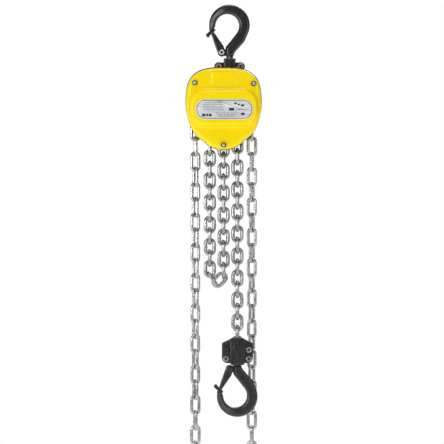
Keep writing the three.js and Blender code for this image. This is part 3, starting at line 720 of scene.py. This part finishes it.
# Plain dark blocks: start, height, width and size upwards.
BOLD_BARS = (
    (-36.0, -11.2, 5.6, 4.0), (-29.4, -11.2, 3.2, 4.0), (-25.2, -11.2, 4.6, 4.0),
    (7.4, -2.0, 8.4, 4.4), (26.8, -9.2, 6.0, 3.8),
    (16.0, 8.2, 4.2, 2.8), (21.8, 6.4, 3.2, 2.8), (26.6, 4.8, 5.4, 3.2),
)
LABEL_CURVE = [(-12, 14.6), (-2, 12.0), (12, 6.4), (24, 1.8), (43, -1.4)]
CURVE_WIDTH = 0.75


def label_bar(x, z, width, height):
    return block(x, x + width, PRINT_FRONT, PRINT_BACK, z, z + height)


def dashes():
    """Rows of dashes whose lengths follow from their row and place."""
    x, z = LABEL_MIDDLE
    bars = []
    for row, (level, start, length) in enumerate(DASH_ROWS):
        left, end = x + start, x + start + length
        while left < end:
            dash = 2.4 + (row * 7 + int((left - x) * 3)) % 5 * 0.9
            bars.append(label_bar(left, z + level, min(dash, end - left + 0.6), DASH_HEIGHT))
            left += dash + DASH_GAP
    return bars


def label_piece(name, shape, material, replaces=()):
    piece(name, shape, material, "hoist_body", replaces)


def name_plate():
    width, height = LABEL_HALF
    bar = rounded_bar(width, -height, height, height - 0.8) + LABEL_MIDDLE
    label_piece("name_plate_body", slab(bar, PLATE_FRONT, PLATE_BACK, 0.25, 0.1, 3), LABEL, ["name_plate"])
    rim_height = height - BORDER_MARGIN
    rim = rounded_bar(width - BORDER_MARGIN, -rim_height, rim_height, height - 2.2) + LABEL_MIDDLE
    outer = resampled(counterclockwise(rim), 0.8)
    section = ((0, PRINT_BACK), (0, PRINT_FRONT), (BORDER_WIDTH, PRINT_FRONT), (BORDER_WIDTH, PRINT_BACK))
    rings = [at_depth(inset(outer, offset), depth) for offset, depth in section]
    label_piece("name_plate_border", skin(rings, closed_path=True), BORDER_INK)
    curve = spline(LABEL_CURVE, 10) + LABEL_MIDDLE
    strip = np.vstack((curve, (curve + (0, -CURVE_WIDTH))[::-1]))
    print_bars = dashes() + [slab(strip, PRINT_FRONT, PRINT_BACK)]
    label_piece("name_plate_print", merged(*print_bars), INK)
    x, z = LABEL_MIDDLE
    bold = [label_bar(x + start, z + level, *size) for start, level, *size in BOLD_BARS]
    label_piece("name_plate_bold_print", merged(*bold), BOLD_INK)


# ---- hooks and latches

PIN = (-9.1, 43.4)
PIN_RADIUS = 2.95
TIP_THINNING = 0.72
RIVET_PROFILE = both_ends([
    (0, -4.5), (2.1, -4.5), (2.3, -10.4), (3.2, -10.8), (4.3, -10.2), (4.6, -9.4), (4.6, -9.0), (2.8, -9.0),
])
SPRING = {"turns": 2.2, "points": 90, "wire": 0.55, "radius": 4.4, "front": -6.0, "length": 1.7}


def hook_outline():
    outer_edge = spline([(10.6, 47), (12.3, 43), (15.8, 39.2), (22.5, 31.6), (28.6, 24.2), (32.9, 14)], 8)
    back = arc(3.55, -1.6, 33.25, 24, -190, 3)
    bowl = arc(0, 0, BOWL, 186, 397, 3)
    tip = [(-30.0, 8.4), (-27.4, 9.4), (-19.6, 2.2)]
    return relaxed(np.vstack((
        [(10.6, 50.2)], outer_edge, back, tip, bowl, [(1.2, 29.8), (-3, 34.2), (-3, 50.2)],
    )), 0.8, 16)


def thin_tip(shape):
    """Flattens a hook towards its tip, so its faces turn outwards there."""
    vertices, faces = shape
    vertices[:, 1] *= 1 - TIP_THINNING * smooth_step(-vertices[:, 0], 0, 34)
    return vertices, faces


def hook(prefix):
    place = HOOKS[prefix]
    neck = place["neck"]
    seam = resampled(hook_outline(), 1.2)
    outline = inset(hook_outline(), 0.3)
    stem = tipped(lathe([
        (0, 44), (5.6, 44), (5.6, neck + 8.4), (4, neck + 8.4), (4, neck + 13.4), (5.5, neck + 13.4),
        (5.5, neck + 15.4), (0, neck + 15.4),
    ], 40, 0.3))
    flash = skin([at_depth(inset(seam, offset), depth)
                  for offset, depth in ((0.6, -0.55), (0.05, -0.2), (0.05, 0.2), (0.6, 0.55))])
    lug = slab(circle(6, 48, *PIN), -3.5, 3.5, 0.8, 0.8)
    web = block(PIN[0], 0, -3.5, 3.5, PIN[1] - 5.4, PIN[1] + 5.4)
    body = thin_tip(slab(outline, -6.5, 6.5, 4.0, 4.0, 6))
    piece(f"{prefix}_hook_forging", body, FORGED, f"{prefix}_hook", [f"{prefix}_hook"],
          join=[moved(stem, 3.8), flash, lug, web], cut=[rod(*PIN, PIN_RADIUS)], place=place)


def latch(prefix):
    x, z = PIN
    side = relaxed(np.vstack((
        [(-27.5, 10)], spline([(-25.3, 15.5), (-20.7, 29.4), (-15.9, 42.4)], 6),
        arc(x, z, 6.3, 170, -35, 12), [(-5.9, 33.2), (-21.3, 11), (-24.1, 7.8)],
    )), 0.7, 2)
    pad = relaxed([(-34, 13.5), (-30.5, 17), (-19, 6.8), (-22.4, 3)], 0.5, 4)
    join = [slab(pad, -8.4, 8.4, 1.2, 1.2), slab(circle(3.0, 32, -31.6, 15.3), -8.5, 8.5, 1.2, 1.2)]
    cut = [rod(x, z, 20.5, -6.9, 6.9, 64), slab(counterclockwise(side) + (2.0, -1.2), -6.3, 6.3),
           rod(x, z, PIN_RADIUS)]
    piece(f"{prefix}_latch_pressing", slab(side, -8.6, 8.6, 1.3, 1.3, 4), FORGED, f"{prefix}_latch",
          [f"{prefix}_latch"], join=join, cut=cut, place=HOOKS[prefix])


def latch_pin(prefix):
    finish = STUD_ZINC if prefix == "top" else FORGED
    rivet = moved(lathe(RIVET_PROFILE, 40, 0.3), PIN[0], 0, PIN[1])
    piece(f"{prefix}_latch_rivet", rivet, finish, f"{prefix}_hook", [f"{prefix}_latch_pin"],
          place=HOOKS[prefix])
    # Dark discs inside the rivet's hollow ends: painted shade for the recess, not a part of the rivet.
    for end, y0, y1 in (("front", -9.9, -9.3), ("rear", 9.3, 9.9)):
        piece(f"{prefix}_latch_rivet_{end}_hollow", rod(*PIN, 2.2, y0, y1, 32), SOCKET_PAINTED_SHADE,
              f"{prefix}_hook", place=HOOKS[prefix])


def latch_spring(prefix):
    t = np.linspace(0, 1, SPRING["points"])
    angle = np.radians(360 * SPRING["turns"] * t - 60)
    radial = np.column_stack((np.cos(angle), np.zeros(len(t)), np.sin(angle)))
    path = SPRING["radius"] * radial + np.outer(SPRING["front"] + SPRING["length"] * t, (0, 1, 0))
    around = np.radians(np.arange(0, 360, 36))[:, None]
    rings = [centre + SPRING["wire"] * (np.cos(around) * out + np.sin(around) * np.array((0, 1, 0)))
             for centre, out in zip(path, radial)]
    piece(f"{prefix}_latch_coil", moved(skin(rings), PIN[0], 0, PIN[1]), STEEL, f"{prefix}_hook",
          [f"{prefix}_latch_spring"], place=HOOKS[prefix])


# ---- yoke and lower block


SOCKET_RADIUS = 2.3
JOINT_GAP = 0.15
YOKE = {"x": 9.8, "depth": 12.5, "lug_x": 17.7, "lug_z": 66.4, "lug_depth": 8.5}
BLOCK = {"x": 22.5, "depth": 13, "pin_z": -390.7, "screw_x": 18.6,
         "screw_z": {"upper": -394.7, "lower": -409.2}}
SUSPENSION_Z = 48
# Shank profile; nut radius, front and back; head radius, front and height.
YOKE_SCREW = {
    "shank": [(0, -5.5), (2.95, -5.5), (2.95, 12.3), (2.4, 12.8), (0, 12.8)],
    "nut": (5, 8.7, 12.2),
    "head": (4.8, -12.2, 3.5),
}
BLOCK_SCREW = {
    "shank": [(0, -6.5), (2.8, -6.5), (2.8, 12.6), (2.2, 13), (0, 13)],
    "nut": (4.8, 9.8, 12.5),
    "head": (4.7, -13.3, 3.8),
}
CHAIN_PIN_PROFILE = [
    (0, -13.7), (2.2, -14.1), (5.2, -14.1), (6, -13.4), (6, -12.3), (4, -12.3), (4, 12.6), (3.4, 13), (0, 13),
]


def socket_head(radius, front, height):
    """A cap screw's head with its socket, its front face towards -y."""
    bottom = height + 2.5
    profile = [
        (0, bottom), (SOCKET_RADIUS, bottom), (SOCKET_RADIUS, 0), (radius - 0.3, 0), (radius, 1),
        (radius, height), (2.9, height), (2.9, bottom + 1), (0, bottom + 1),
    ]
    return moved(lathe(profile, 40, 0.35), 0, front)


def nut_shape(radius, y0, y1, x, z, chamfer=0.5):
    """A hexagon and the cone that chamfers it."""
    flat, corner = radius * 0.90, radius + 0.05
    cone = lathe([(0, y0), (flat, y0), (corner, y0 + chamfer), (corner, y1 - chamfer), (flat, y1), (0, y1)],
                 60, 0)
    return moved(slab(circle(radius, 6), y0, y1), x, 0, z), moved(cone, x, 0, z)


def cap_screw(name, node, kind, x, z, body, finish=BOLT_ZINC):
    """A cap screw with its nut, and a dark disc inside its socket that is painted shade for the socket's
    depth.
    """
    nut, cone = nut_shape(*kind["nut"], x, z)
    shank = moved(lathe(kind["shank"], 32, 0.2), x, 0, z)
    piece(name, nut, finish, body, [node], keep=[cone],
          join=[shank, moved(socket_head(*kind["head"]), x, 0, z)])
    front = kind["head"][1]
    # A dark disc inside the socket: painted shade, not a part of the screw.
    piece(f"{name}_socket", rod(x, z, 2.25, front + 0.7, front + 1.3, 32), SOCKET_PAINTED_SHADE, body)


def yoke():
    x, depth, lug_z = YOKE["x"], YOKE["depth"], YOKE["lug_z"]
    body = relaxed(mirrored([(9.7, 79.6), (9.7, 60), (10.5, 57), (10.5, 44), (7, 39)]) + (x, 0), 0.6, 5)
    web = relaxed(mirrored([(YOKE["lug_x"], 73.0), (YOKE["lug_x"], 59.8)]) + (x, 0), 0.8, 1)
    lugs = {side: x + sign * YOKE["lug_x"] for side, sign in SIDES}
    cut = [rod(x, SUSPENSION_Z, 5.3), upright(x, 5.9, 63, 82), upright(x, 7.7, 65.2, 71.4)]
    cut += [rod(lug_x, lug_z, 3.2) for lug_x in lugs.values()]
    for name, facing in HALVES:
        join = [half_slab(facing, circle(7.2, 56, lug_x, lug_z), JOINT_GAP, YOKE["lug_depth"], 1.6)
                for lug_x in lugs.values()]
        join.append(half_slab(facing, web, JOINT_GAP, 7.9, 0.8, 0.8))
        join.append(half_rod(facing, x, SUSPENSION_Z, 8.2, JOINT_GAP, depth, 48, 0.6))
        piece(f"yoke_{name}_forging", half_slab(facing, body, JOINT_GAP, depth, 2.2), FORGED, "yoke",
              [f"yoke_{name}_half"], join=join, cut=cut)
    for side, lug_x in lugs.items():
        cap_screw(f"yoke_screw_{side}", f"yoke_bolt_{side}", YOKE_SCREW, lug_x, lug_z, "yoke")


def load_block():
    x, pin_z = BLOCK["x"], BLOCK["pin_z"]
    body = relaxed(mirrored([(7, -374.9), (12.8, -378), (12.8, -415.5), (10, -419.6)]) + (x, 0), 0.6, 5)
    ear = [(12, -377.8), (25.3, -384), (25.5, -408), (23, -414), (18.6, -416.5)]
    ears = relaxed(mirrored(ear) + (x, 0), 0.7, 6)
    rib = relaxed(np.array([(-1.6, -416), (1.6, -416), (1.6, -398), (-1.6, -398)]) + (x, 0), 0.4, 3)
    screws = [(x + sign * BLOCK["screw_x"], z) for _, sign in SIDES for z in BLOCK["screw_z"].values()]
    cut = [
        upright(x, 5.9, -421, -403.4),
        upright(x, 7.8, -411.5, -405.6),
        slab(rounded_bar(10.9, -402, -360, 4) + (x, 0), -3.7, 3.7),
        slab(rounded_bar(3.7, -385.5, -360, 2) + (x, 0), -10.9, 10.9),
        rod(x, pin_z, 4.2),
        rod(x, pin_z, 6.2, -20, -12),
    ] + [rod(*screw, 3.0) for screw in screws]
    for name, facing in HALVES:
        join = [half_slab(facing, ears, JOINT_GAP, 9, 1.8),
                half_rod(facing, x, pin_z, 7.4, JOINT_GAP, 14, 56, 1.2),
                half_slab(facing, rib, 4, 13.9, 0.7, 0.7)]
        join += [half_rod(facing, *screw, 6.1, 4, 9.6, 40, 0.5) for screw in screws]
        piece(f"block_{name}_forging", half_slab(facing, body, JOINT_GAP, BLOCK["depth"], 2.4), FORGED,
              "load_block", [f"block_{name}_half"], join=join, cut=cut)
    pin = moved(lathe(CHAIN_PIN_PROFILE, 48, 0.3), x, 0, pin_z)
    piece("chain_pin_turned", pin, FORGED, "load_block", ["chain_pin"])
    for row, z in BLOCK["screw_z"].items():
        for side, sign in SIDES:
            finish = FORGED if (row, side) == ("upper", "left") else BOLT_ZINC
            cap_screw(f"block_cap_screw_{row}_{side}", f"block_screw_{row}_{side}", BLOCK_SCREW,
                      x + sign * BLOCK["screw_x"], z, "load_block", finish)


# ---- chains


WELD_SWELL, WIRE_WEAR = 1.03, 0.985


def link_shape(chain):
    """One link along z, flat to the viewer, with the small swelling of its weld on one side."""
    wire = chain["wire"] / 2
    bend = (chain["width"] - chain["wire"]) / 2
    half = chain["pitch"] / 2 + wire - bend
    path, normals, radii = [], [], []
    for side, start in ((1, 0), (-1, 180)):
        for z in (-half, -0.22 * half, 0, 0.22 * half):
            path.append((side * bend, side * z))
            normals.append((side, 0))
            radii.append(wire * (WELD_SWELL if side < 0 and abs(z) < half * 0.1 else WIRE_WEAR))
        for angle in np.radians(np.linspace(start, start + 180, 11)[:-1]):
            path.append((bend * math.cos(angle), side * half + bend * math.sin(angle)))
            normals.append((math.cos(angle), math.sin(angle)))
            radii.append(wire * WIRE_WEAR)
    around = np.radians(np.arange(0, 360, 24))
    rings = []
    for (x, z), (nx, nz), radius in zip(path, normals, radii):
        out = radius * np.cos(around)
        rings.append(np.column_stack((x + out * nx, radius * np.sin(around), z + out * nz)))
    return skin(rings, closed_path=True)


def chain_shape(chain, joints, y=0.0, roll=None, closed=False):
    """Links between successive joints; even ones face the viewer, and roll turns each further."""
    base, faces = link_shape(chain)
    count = len(joints) if closed else len(joints) - 1
    links = []
    for i in range(count):
        (x0, z0), (x1, z1) = joints[i], joints[(i + 1) % len(joints)]
        turn = math.radians(90 * (i % 2) + (roll(i) if roll else 0))
        tilt = math.atan2(x1 - x0, z1 - z0)
        x, depth, z = base.T
        flat_x = x * math.cos(turn) - depth * math.sin(turn)
        flat_y = x * math.sin(turn) + depth * math.cos(turn)
        links.append((np.column_stack((
            flat_x * math.cos(tilt) + z * math.sin(tilt) + (x0 + x1) / 2,
            flat_y + y,
            z * math.cos(tilt) - flat_x * math.sin(tilt) + (z0 + z1) / 2,
        )), faces))
    return merged(*links)


LIFT_X = 22.5
LIFT_FIRST_JOINT = node_box("load_chain_lift")[0][2] - AXIS[2] + CAD_LINK_END - LOAD_CHAIN["pitch"] / 2
LIFT_LINKS = 22
LIFT_TOP = LIFT_FIRST_JOINT + LIFT_LINKS * LOAD_CHAIN["pitch"]
SLACK_TOP, SLACK_LINKS, RETURN_TOP, RETURN_LINKS = -2.2, 15, -58.7, 12
SLACK_BEND = (-12.8, -287.4)
WRAP_RADIUS = 23.5


def run(x, z, step, count):
    return [(x, z + i * step) for i in range(count + 1)]


def load_links(name, joints, body, node):
    piece(name, chain_shape(LOAD_CHAIN, joints), LOAD_CHAIN_ZINC, body, [node])


def load_chain():
    pitch = LOAD_CHAIN["pitch"]
    lift = run(LIFT_X, LIFT_FIRST_JOINT, pitch, LIFT_LINKS)
    load_links("load_chain_lift_links", lift, "load_block", "load_chain_lift")
    wrap = [tuple(circle(WRAP_RADIUS, 1, start=angle)[0]) for angle in (45, 90, 135)]
    over = [(LIFT_X + 0.5, LIFT_TOP), *wrap, (-LIFT_X, SLACK_TOP)]
    load_links("load_chain_sheave_links", over, "hoist_body", "load_chain_over_sheave")
    down = run(-LIFT_X, SLACK_TOP, -pitch, SLACK_LINKS)
    up = run(0, RETURN_TOP, -pitch, RETURN_LINKS)[::-1]
    load_links("load_chain_slack_links", down + [SLACK_BEND] + up, "hoist_body", "load_chain_slack")


WHEEL_RADIUS, WHEEL_STEP, STRAND_X, STRAND_LINKS = 48.3, 30, 46.4, 23
HAND_BEND = (12, 43, 75.5)
TWIST = {"ramp": 5, "right": (15, 40), "left": (30, 30)}


def hand_roll(link):
    """The slow twist of the two free strands, which comes in and goes out over a few links."""
    wheel_links = 180 // WHEEL_STEP
    right = link - wheel_links
    left = wheel_links + 2 * STRAND_LINKS + 2 * len(HAND_BEND) - 1 - link
    for index, side in ((right, "right"), (left, "left")):
        if 0 <= index < STRAND_LINKS:
            top, bottom = TWIST[side]
            fade = min(1, index / TWIST["ramp"], (STRAND_LINKS - 1 - index) / TWIST["ramp"])
            return max(0, fade) * (top + (bottom - top) * index / STRAND_LINKS)
    return 0


def hand_chain():
    pitch = HAND_CHAIN["pitch"]
    joints = [tuple(circle(WHEEL_RADIUS, 1, start=angle)[0]) for angle in range(180, 0, -WHEEL_STEP)]
    joints.append((WHEEL_RADIUS, 0))
    joints += [(STRAND_X, -i * pitch) for i in range(1, STRAND_LINKS + 1)]
    x, z = joints[-1]
    for turn in (*HAND_BEND, *(180 - angle for angle in HAND_BEND[::-1])):
        x -= pitch * math.sin(math.radians(turn))
        z -= pitch * math.cos(math.radians(turn))
        joints.append((x, z))
    joints += [(-STRAND_X, -i * pitch) for i in range(STRAND_LINKS - 1, 0, -1)]
    shape = chain_shape(HAND_CHAIN, joints, node_centre("hand_chain")[1], hand_roll, closed=True)
    piece("hand_chain_links", shape, CHAIN_ZINC, "hoist_body", ["hand_chain"])


# ---- fasteners and inner works


SUSPENSION_PIN = both_ends([(0, -19.5), (6.9, -19.5), (7.5, -18.9), (7.5, -17.3), (5, -17.3)])
STUD_END = [(0, -37), (1.7, -36.9), (2.45, -36.2), (2.45, -35.1), (0, -35.1)]
SPACER = both_ends([(4.3, -12.7), (7, -12.7)])
ROLLER = both_ends([(0, -16.5), (3, -16.5), (3, -12.5), (6, -12.5)])
STRIPPER_BAR = both_ends([(0, -16.5), (2.5, -16.5), (2.5, -12.7), (4, -12.7)])
STRIPPER_TONGUE = [(-8, -6), (8, -6), (8, 10), (3, 25.5), (-3, 25.5), (-8, 10)]
SHEAVE = [(5.8, -26), (9, -26), (9, -17.5)] + both_ends([
    (12, -17.5), (12, -12.5), (21.5, -12.5), (21.5, -10.6), (17.8, -10.6), (17.8, -3.9), (11.2, -3.9),
]) + [(5.8, 17.5)]
POCKET_TURN, POCKETS = 25.5, 4
WHEEL_DEPTH = 45
HAND_WHEEL = [(5.3, -14.3), (13, -14.3), (13, -4)] + both_ends([
    (33.5, -4), (33.5, -11.5), (52, -11.5), (52, -9.4), (43.2, -9.2), (43.2, -3.2), (37.3, -3.2),
]) + [(5.3, 4)]


def fasteners():
    for side, (x, z) in STAYS.items():
        radius = 3.0 if side == "bottom" else 4.0
        shaft = lathe([(0, -35), (2.5, -35), (2.5, -17), (radius, -17), (radius, 64), (0, 64)], 32, 0.25)
        head, cone = nut_shape(6.4, 62.3, 66.5, x, z)
        piece(f"stay_bolt_{side}_turned", head, BOLT_ZINC, "hoist_body", [f"stay_bolt_{side}"],
              keep=[cone], join=[moved(shaft, x, 0, z)])
        nut, cone = nut_shape(4.7, -35.6, -32.2, x, z)
        piece(f"front_nut_{side}_hex", nut, NUT_ZINC, "hoist_body", [f"front_nut_{side}"],
              keep=[cone], cut=[rod(x, z, 2.65)])
        piece(f"stay_bolt_{side}_end", moved(lathe(STUD_END, 32, 0.25), x, 0, z), STUD_ZINC,
              "hoist_body")


def steel_piece(name, shape, node, body="hoist_body", join=()):
    piece(name, shape, STEEL, body, [node], join=join)


def inner_works():
    pin = moved(lathe(SUSPENSION_PIN, 48, 0.2), YOKE["x"], 0, SUSPENSION_Z)
    steel_piece("suspension_pin_turned", pin, "suspension_pin")
    for side, sign in SIDES:
        x, z = STAYS[side]
        spacer = moved(lathe(SPACER, 48, 0.5, closed=True), x, 0, z)
        steel_piece(f"spacer_{side}_tube", spacer, f"spacer_{side}")
        roller = moved(lathe(ROLLER, 48, 0.5), sign * 40, 0, -12)
        steel_piece(f"chain_roller_{side}_turned", roller, f"chain_roller_{side}")
    teeth = [turned(block(15.8, 22.5, *depth, -2, 2, 0.6), POCKET_TURN + 360 / POCKETS * i)
             for i in range(POCKETS) for depth in ((-10.9, -4.2), (4.2, 10.9))]
    steel_piece("load_sheave_casting", lathe(SHEAVE, 72, 0.5, closed=True), "load_sheave", "sheave", teeth)
    wheel = moved(lathe(HAND_WHEEL, 96, 0.8, closed=True), 0, WHEEL_DEPTH)
    piece("hand_wheel_casting", wheel, PLATE_BLACK, "drive", ["hand_wheel"])
    tongue = moved(slab(relaxed(STRIPPER_TONGUE, 0.6, 3), -2.5, 2.5, 0.5, 0.5), 0, 0, -42)
    bar = moved(lathe(STRIPPER_BAR, 40, 0.3), 0, 0, -42)
    steel_piece("chain_stripper_forging", tongue, "chain_stripper", join=[bar])


# ---- stage


FLOOR_SIZE, FLOOR_DROP = 6.0, 0.16
SKY_BY_HEIGHT = ((0.0, 0.3), (0.35, 0.12), (0.5, 0.06), (0.65, 0.12), (0.85, 0.35), (1.0, 0.5))
SKY_BY_DEPTH = ((0.0, 0.12), (0.15, 0.2), (0.35, 0.1), (0.5, 0.02), (0.75, 0.05), (1.0, 0.15))
# Name, place in metres, size and watts.
SOFTBOXES = (
    ("key", (-0.95, -1.8, -0.2), 0.7, 13),
    ("fill", (1.25, -1.7, 0.0), 0.9, 6),
    ("overhead", (0.0, -0.3, 1.3), 0.6, 5),
    ("left_strip", (-1.7, -0.2, -0.3), 0.5, 5),
    ("right_strip", (1.7, -0.2, -0.5), 0.5, 2),
    ("back", (0.5, 1.7, 0.9), 0.8, 16),
)
SUN_STRENGTH, SUN_ANGLE = 0.4, math.radians(40)
CAMERA_DISTANCE, VIEW_WIDTH = 5.0, 0.7237
CAMERA_X, CAMERA_Z = -0.0086, -0.3389


def stage():
    floor_z = CAD_BOX[0][2] - FLOOR_DROP
    bpy.ops.mesh.primitive_plane_add(size=FLOOR_SIZE, location=(0, 0, floor_z))
    floor = bpy.context.object
    floor.name = "studio_floor"
    paint = Finish("studio_floor_paint", (0.9, 0.9, 0.9), 0.85, 0.0, Emission_Color=(1, 1, 1, 1),
                   Emission_Strength=0.25)
    paint.color(paint.noise(3, 2), (0.89, 0.89, 0.89), (0.92, 0.92, 0.92))
    floor.data.materials.append(paint.material)


def sky_ramp(tree, direction, levels):
    """Grey levels along one direction of the surround, from -1 to 1."""
    span = tree.nodes.new("ShaderNodeMapRange")
    span.inputs["From Min"].default_value = -1
    tree.links.new(direction, span.inputs["Value"])
    stops = [(position, (level, level, level)) for position, level in levels]
    return color_ramp(tree, span.outputs["Result"], stops)


def sky():
    """A surround that the camera sees as white, and metal mirrors as bright and dark bands."""
    world = bpy.data.worlds.new("studio")
    bpy.context.scene.world = world
    world.use_nodes = True
    tree = world.node_tree
    place = tree.nodes.new("ShaderNodeTexCoord")
    parts = tree.nodes.new("ShaderNodeSeparateXYZ")
    tree.links.new(place.outputs["Generated"], parts.inputs["Vector"])
    total = tree.nodes.new("ShaderNodeMix")
    total.data_type = "RGBA"
    total.blend_type = "ADD"
    total.inputs[0].default_value = 1
    tree.links.new(sky_ramp(tree, parts.outputs["Z"], SKY_BY_HEIGHT), total.inputs[6])
    tree.links.new(sky_ramp(tree, parts.outputs["Y"], SKY_BY_DEPTH), total.inputs[7])
    seen = tree.nodes.new("ShaderNodeLightPath")
    white = tree.nodes.new("ShaderNodeBackground")
    mix = tree.nodes.new("ShaderNodeMixShader")
    glow = tree.nodes["Background"]
    white.inputs["Color"].default_value = (1, 1, 1, 1)
    tree.links.new(total.outputs[2], glow.inputs["Color"])
    tree.links.new(seen.outputs["Is Camera Ray"], mix.inputs["Fac"])
    tree.links.new(glow.outputs["Background"], mix.inputs[1])
    tree.links.new(white.outputs["Background"], mix.inputs[2])
    tree.links.new(mix.outputs["Shader"], tree.nodes["World Output"].inputs["Surface"])


def lights():
    middle = Vector(((CAD_BOX[0][0] + CAD_BOX[1][0]) / 2, 0, (CAD_BOX[0][2] + CAD_BOX[1][2]) / 2))
    for name, place, size, power in SOFTBOXES:
        data = bpy.data.lights.new(name, "AREA")
        data.shape = "DISK"
        data.size = size
        data.energy = power
        light = bpy.data.objects.new(name, data)
        light.location = place
        light.rotation_euler = (middle - light.location).to_track_quat("-Z", "Y").to_euler()
        bpy.context.scene.collection.objects.link(light)
    data = bpy.data.lights.new("sun", "SUN")
    data.energy = SUN_STRENGTH
    data.angle = SUN_ANGLE
    bpy.context.scene.collection.objects.link(bpy.data.objects.new("sun", data))


def camera():
    data = bpy.data.cameras.new("camera")
    data.sensor_width = 36
    data.angle = 2 * math.atan(VIEW_WIDTH / 2 / CAMERA_DISTANCE)
    made = bpy.data.objects.new("camera", data)
    made.location = (CAMERA_X, -CAMERA_DISTANCE, CAMERA_Z)
    made.rotation_euler = (math.pi / 2, 0, 0)
    bpy.context.scene.collection.objects.link(made)
    bpy.context.scene.camera = made


camera()
bpy.context.scene.view_settings.view_transform = "Standard"
stage()
sky()
lights()
dress_cad_nodes()
gear_cover()
wheel_cover()
side_plates()
name_plate()
for hook_name in HOOKS:
    hook(hook_name)
    latch(hook_name)
    latch_pin(hook_name)
    latch_spring(hook_name)
yoke()
load_block()
load_chain()
hand_chain()
fasteners()
inner_works()
